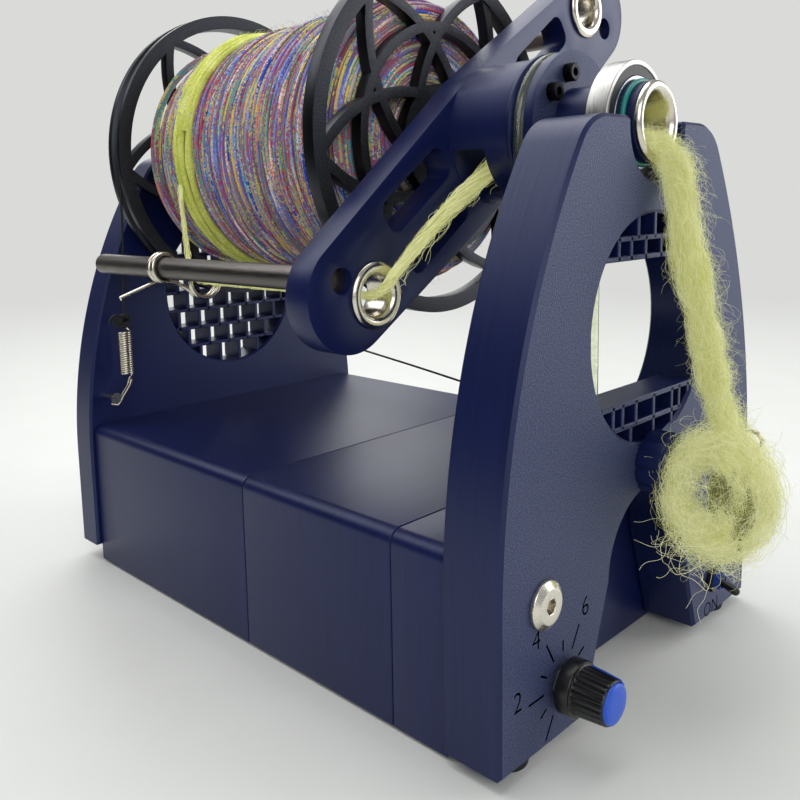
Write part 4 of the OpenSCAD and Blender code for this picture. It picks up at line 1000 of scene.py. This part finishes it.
strand_route = [(-8, 50, 170), (-14, 53, 163), (-34, 54, 150), (-51, 57, 135), (-57, 60, 127.5), (-58.5, 66, 126),
                (-58.5, 80, 126), (-58.4, 110, 125.9), (-58.3, 140, 125.8), (-58.3, 156, 125.8)]
strand_path = smooth_route([at(*p) for p in strand_route], 7)
strand_wide = spread_over(strand_path, [3.0, 3.2, 2.4, 1.6, 1.1, 0.95, 0.9, 0.85, 0.85, 0.85])
strand_core = [w * 0.72 * (1 + 0.18 * noise.noise(Vector((i * 0.4, 3, 0)))) for i, w in enumerate(strand_wide)]
lines = [(strand_path, strand_core, 0.45)]
lines += fibres(strand_path, 420, 5, strand_wide, (0.12, 0.4), 0.35, 0.1, 16.0)
lines += fibres(strand_path[:36], 110, 6, strand_wide[:36], (0.15, 0.4), 0.6, 0.06, 10.0, 1.0, 6.0)
strand_ends = ("guide_a", at(-58.5, 74, 126), at(-58.3, 156, 125.8))
swept("new_strand", lines, "flyer", wool, "new_yarn", ["yarn_strand"], 4, strand_ends)
feed_route = [(-58.3, 156, 125.8), (-57.5, 162, 127), (-54, 170, 131), (-50.6, 178, 146), (-49.6, 181, 163)]
feed_path = smooth_route([at(*p) for p in feed_route], 8)
feed_wide = [0.9] * len(feed_path)
lines = [(feed_path, [w * 0.75 for w in feed_wide], 0.45)]
lines += fibres(feed_path, 120, 8, feed_wide, (0.2, 0.5), 0.3, 0.09, 14.0)
swept("feed_strand", lines, "guide_a", wool, "new_yarn", ["yarn_feed"], 4)

# ---- Brake ----
# A thin black cord from a nickel extension spring, over the groove of the rear rim, down through an eye
# and forward to the shaft of the knurled brake knob.
cord_material = moulded("braided_cord", "121214", 0.75, 0.4, 0.15)
brake_y, brake_r, brake_a0, brake_a1, cord_half = 209.5, 60.8, 178.7, 5.5, 0.5
brake_left = [(-62, 211.2, 105), (-62, 210.5, 112), (-61, 209.5, 140), (-60.5, 209.5, 165)]
brake_right = [(63, 209.5, 145), (67, 209.5, 110), (69.6, 209.5, 84), (69.8, 209, 79), (68.8, 204, 77.4), (60, 155, 75),
               (50, 100, 72), (41, 50, 69.6), (36.7, 27, 68.7), (36.4, 23.4, 68.7), (35.2, 21.6, 68.8),
               (31.5, 21.2, 69.2), (12, 23, 71.5), (4, 23.4, 72.6)]
over = [at(x, brake_y, z) for x, z in arc(0, axis_z, brake_r, brake_a0, brake_a1, 60)]
cord_path = smooth_route([at(*p) for p in brake_left], 6) + over + smooth_route([at(*p) for p in brake_right], 6)
# a bulky knot with two short tails ties the cord to the spring
knot_path = []
for i in range(64):
    a, roll, tilt = i * 0.47, i * 0.71, i * 0.13
    knot_path.append(at(-62.4 + 2.3 * math.cos(a), 210.6 + 1.3 * math.sin(roll),
                        106.4 + 2.5 * math.sin(a) * math.cos(tilt)))
tail_paths = [smooth_route([at(*p) for p in route], 6) for route in (
    [(-63, 210, 107), (-66, 209.6, 109.2), (-68.6, 209.4, 108.2), (-69.6, 209.2, 106)],
    [(-63, 210.4, 106), (-65.4, 209.8, 104.4), (-67.4, 209.6, 105.8), (-67.8, 209.5, 108.6)])]
swept("brake_line", [(cord_path, cord_half, 0.5), (knot_path, 0.8, 0.5)] + [(t, 0.6, 0.5) for t in tail_paths],
      "root", cord_material, "cord", ["brake_cord"], 8)
spring_x, spring_y, spring_r, spring_wire, spring_z0, spring_z1, spring_coils = -62, 211.5, 2.5, 0.5, 83, 101.5, 19
helix = []
for i in range(spring_coils * 20 + 1):
    a = 2 * math.pi * i / 20
    helix.append((spring_x + spring_r * math.cos(a), spring_y + spring_r * math.sin(a),
                  spring_z0 + (spring_z1 - spring_z0) * i / (spring_coils * 20)))
hook = smooth_route([(-68.2, 214.9, 70.6), (-66.6, 214.1, 69.8), (-64.6, 212.9, 73.5), (-62, 211.7, 78),
                     (-61.2, 211.1, 81), helix[0]], 6)[:-1]
loop_top = smooth_route([helix[-1], (-61, 211.5, 102.9), (-61.8, 211.5, 104.5)], 5)[1:]
hook_side = [(x + 0.5, y - 1.3, z + 0.2) for x, y, z in hook[:-6]]
swept("coil_spring", [([at(*p) for p in hook + helix + loop_top], spring_wire, 0.5),
                      ([at(*p) for p in hook_side], 0.75, 0.5)], "root", nickel, "nickel",
      ["brake_spring"], 8)
softened("brake_knob", ["tension_knob"], "tension", navy, 0.35, 2)

# ---- Roving and nest ----
# Combed wool top: it hangs from the mouth as a soft band of fibres with many that stray, and its end
# is turned into a loose ball with a hollow on one side, over the brake knob. Real fibres are 0.03 mm
# thick: these are drawn about twice as thick, and fewer.
roving_route = [(0.5, 14, 172.5), (0.5, 5, 170.5), (1, -1.2, 167.5), (1.4, -5.5, 160), (1, -9, 140), (6, -11, 122),
                (9.8, -12.5, 108), (10.4, -15, 96), (8, -20, 86), (5, -24.5, 76), (2, -26, 63), (-2, -23, 53)]
roving_path = smooth_route([at(*p) for p in roving_route], 6)
roving_wide = spread_over(roving_path, [4.0, 4.4, 4.2, 4.0, 4.4, 4.4, 4.2, 4.0, 4.6, 5.4, 5.6, 4.4])
roving_wide = [w * (1 + 0.3 * noise.noise(Vector((i * 0.21, 7, 1)))) for i, w in enumerate(roving_wide)]
rings, around = [], 28
bm = bmesh.new()
for i, p in enumerate(roving_path):
    t, a, b = side_frame(roving_path, i)
    row = []
    for k in range(around):
        u = 2 * math.pi * k / around
        streak = noise.noise(Vector((math.cos(u) * 2.2, math.sin(u) * 2.2, i * 0.09)))
        w = roving_wide[i] * (0.74 + 0.3 * streak)
        row.append(bm.verts.new(p + (a * math.cos(u) * w + b * math.sin(u) * w * 0.72) * mm))
    rings.append(row)
for low, high in zip(rings, rings[1:]):
    for k in range(around):
        j = (k + 1) % around
        bm.faces.new((low[k], low[j], high[j], high[k]))
bm.faces.new(rings[0])
bm.faces.new(rings[-1])
wool_body = wool_material("wool_body", "ced27e", "e8eaa8")
finish_piece("roving_body", bm, "root", wool_body, ["fibre_roving"], 80, True)
for part in range(2):
    lines = fibres(roving_path, 1900, 31 + part, [w * 1.05 for w in roving_wide], (0.1, 0.3), 0.85, 0.034, 2.0,
                   squash_to=0.75)
    swept(f"roving_fibres_{part + 1}", lines, "root", wool, "fibre", (), 3)
for part in range(2):
    lines = fibres(roving_path, 1150, 41 + part, [w * 1.15 for w in roving_wide], (0.05, 0.17), 1.2, 0.024, 1.0,
                   1.0, 7.0, 0.9)
    swept(f"roving_strays_{part + 1}", lines, "root", wool, "fibre", (), 3)

# the ball is turned about a slanting axis, nest_n; nest_h and nest_u are its width and height
nest_c, nest_r = Vector((3, -20.5, 66.5)), Vector((18, 13, 20))
nest_h, nest_n = Vector((0.386, -0.923, 0)), Vector((0.861, 0.36, -0.316))
nest_u = nest_h.cross(nest_n)
core_at, core_size = (4.5, 1, -2), (6.5, 9, 12.5)
hollow_at, hollow_size, ball_size = (-4.5, 2), (12, 15), (15.5, 18.5)


def nest_place(h, n, u):
    """A place in the ball, across it, along its axis and up it, in millimetres."""
    return nest_c + nest_h * h + nest_n * n + nest_u * u


bm = bmesh.new()
bmesh.ops.create_icosphere(bm, subdivisions=5, radius=1.0)
for v in bm.verts:
    n = v.co.normalized()
    w = 1.0 + 0.3 * noise.noise(n * 1.7) + 0.15 * noise.noise(n * 5.1) + 0.08 * noise.noise(n * 13.0)
    v.co = at(*nest_place(*(c + d * w * size for c, d, size in zip(core_at, n, core_size))))
# painted shade: the solid core of the ball is coloured darker than the fibres for the shade deep among them
nest_painted_shade = wool_material("wool_painted_shade", "74774a", "a3a666")
finish_piece("nest_body", bm, "root", nest_painted_shade, ["fibre_nest"], 80, True)
# noise_vector starts from the clock unless its seed is set, and the fibres have to fall the same each run
noise.seed_set(5)


def swirl(rng):
    """A fibre that follows the ball's turn about its axis or about the hollow beside it, and wanders off it."""
    hollow = rng.random() < 0.5
    theta, size = rng.uniform(0, 6.283), rng.uniform(0.5, 0.95) if hollow else rng.uniform(0.72, 1.05)
    deep = rng.uniform(-0.8, 0.8)
    step, drift, seed = rng.choice((-1, 1)) * rng.uniform(0.05, 0.1), rng.uniform(-0.012, 0.012), rng.uniform(0, 99)
    line = []
    for i in range(17):
        theta += step
        size = max(0.3, size + drift)
        wob = noise.noise_vector(Vector((seed, i * 0.3, 0))) * 3.4
        fine = noise.noise_vector(Vector((seed, i * 1.1, 8))) * 0.8
        h, u = math.cos(theta) * ball_size[0], math.sin(theta) * ball_size[1]
        if hollow:
            h, u = (math.cos(theta) * hollow_size[0] + hollow_at[0],
                    math.sin(theta) * hollow_size[1] + hollow_at[1])
        line.append(nest_place(h * size, deep * nest_r.y, u * size) + wob + fine)
    return line


def curl(rng, stray):
    """A fibre that curls at random over the ball; a stray one leaves it."""
    v = Vector((rng.gauss(0, 1), rng.gauss(0, 1), rng.gauss(0, 1))).normalized()
    p = Vector((v.x * nest_r.x, v.y * nest_r.y, v.z * nest_r.z)) * rng.uniform(0.8, 1.0)
    heading = Vector((rng.gauss(0, 1), rng.gauss(0, 0.5), rng.gauss(0, 1))).normalized()
    seed, line = rng.uniform(0, 99), []
    for i in range(17):
        line.append(nest_c + p)
        bend = noise.noise_vector(Vector((seed, i * 0.45, 3))) * 1.3
        level_now = Vector((p.x / nest_r.x, p.y / nest_r.y, p.z / nest_r.z)).length
        inward = -Vector((p.x / nest_r.x ** 2, p.y / nest_r.y ** 2, p.z / nest_r.z ** 2)).normalized()
        pull = max(0.0, level_now - (1.25 if stray else 0.98)) * 1.6
        heading = (heading + bend * 0.5 + inward * pull).normalized()
        p = p + heading * (1.35 if stray else 1.1)
    return line


rng = random.Random(77)
for part, count in ((1, 1500), (2, 1500), (3, 750)):
    lines = []
    for k in range(count):
        line = swirl(rng) if part < 3 else curl(rng, k % 4 == 0)
        if max(p.y for p in line) < -1.0:
            lines.append(([at(*p) for p in line], 0.038 * rng.uniform(0.7, 1.3), rng.random()))
    swept(f"nest_fibres_{part}", lines, "root", wool, "fibre", (), 3)

# long threads that hang from the ball and stand off the roving
lines = []
for k in range(34):
    p = nest_place(rng.uniform(-15, 2), rng.uniform(-8, 8), rng.uniform(-18, -11))
    heading = Vector((rng.uniform(-0.6, 0.5), rng.uniform(-0.1, 0.4), -0.8)).normalized()
    seed, line = rng.uniform(0, 99), []
    for i in range(rng.randint(12, 26)):
        line.append(at(*p))
        heading = (heading + noise.noise_vector(Vector((seed, i * 0.35, 5))) * 0.9).normalized()
        p = p + heading * 1.3
        if p.z < 14 or p.y > -2:
            break
    if len(line) > 4:
        lines.append((line, 0.045 * rng.uniform(0.8, 1.4), 0.9))
swept("hanging_threads", lines, "root", wool, "fibre", (), 4)

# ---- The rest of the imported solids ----
# Parts whose shape needs no more keep it and get their finish here.
finishes = {
    "navy_print": navy, "cover_print": smooth_navy, "black_print": glinting_black_pla, "foot_rubber": rubber,
    "bolt_nickel": satin_nickel, "bright_steel": ground_steel,
    "seal_rubber": moulded("seal_rubber", "232327", 0.5), "black_steel": oxide,
    "case_steel": metal("plated_case", "a2a2a4", 0.35),
    "board": moulded("lacquered_board", "12502e", 0.35), "black_plastic": black_abs, "blue_plastic": blue_abs,
    "switch_plastic": moulded("switch_case", "1b3a86", 0.4), "belt": belt_pu, "nickel": nickel,
    "ring_rubber": moulded("teal_rubber", "0c7f78", 0.35, 0.5, 0.02), "rod_finish": rod_coat,
    "bush_plastic": moulded("acetal", "dcd8cc", 0.45), "new_yarn": wool, "wound_yarn": dyed,
    "cord": cord_material, "fibre": wool_body}
for entry in frame["record"]["subparts"]:
    mesh = frame["nodes"][entry["node"]].data
    mesh.materials.clear()
    mesh.materials.append(finishes[entry["material_slot"]])
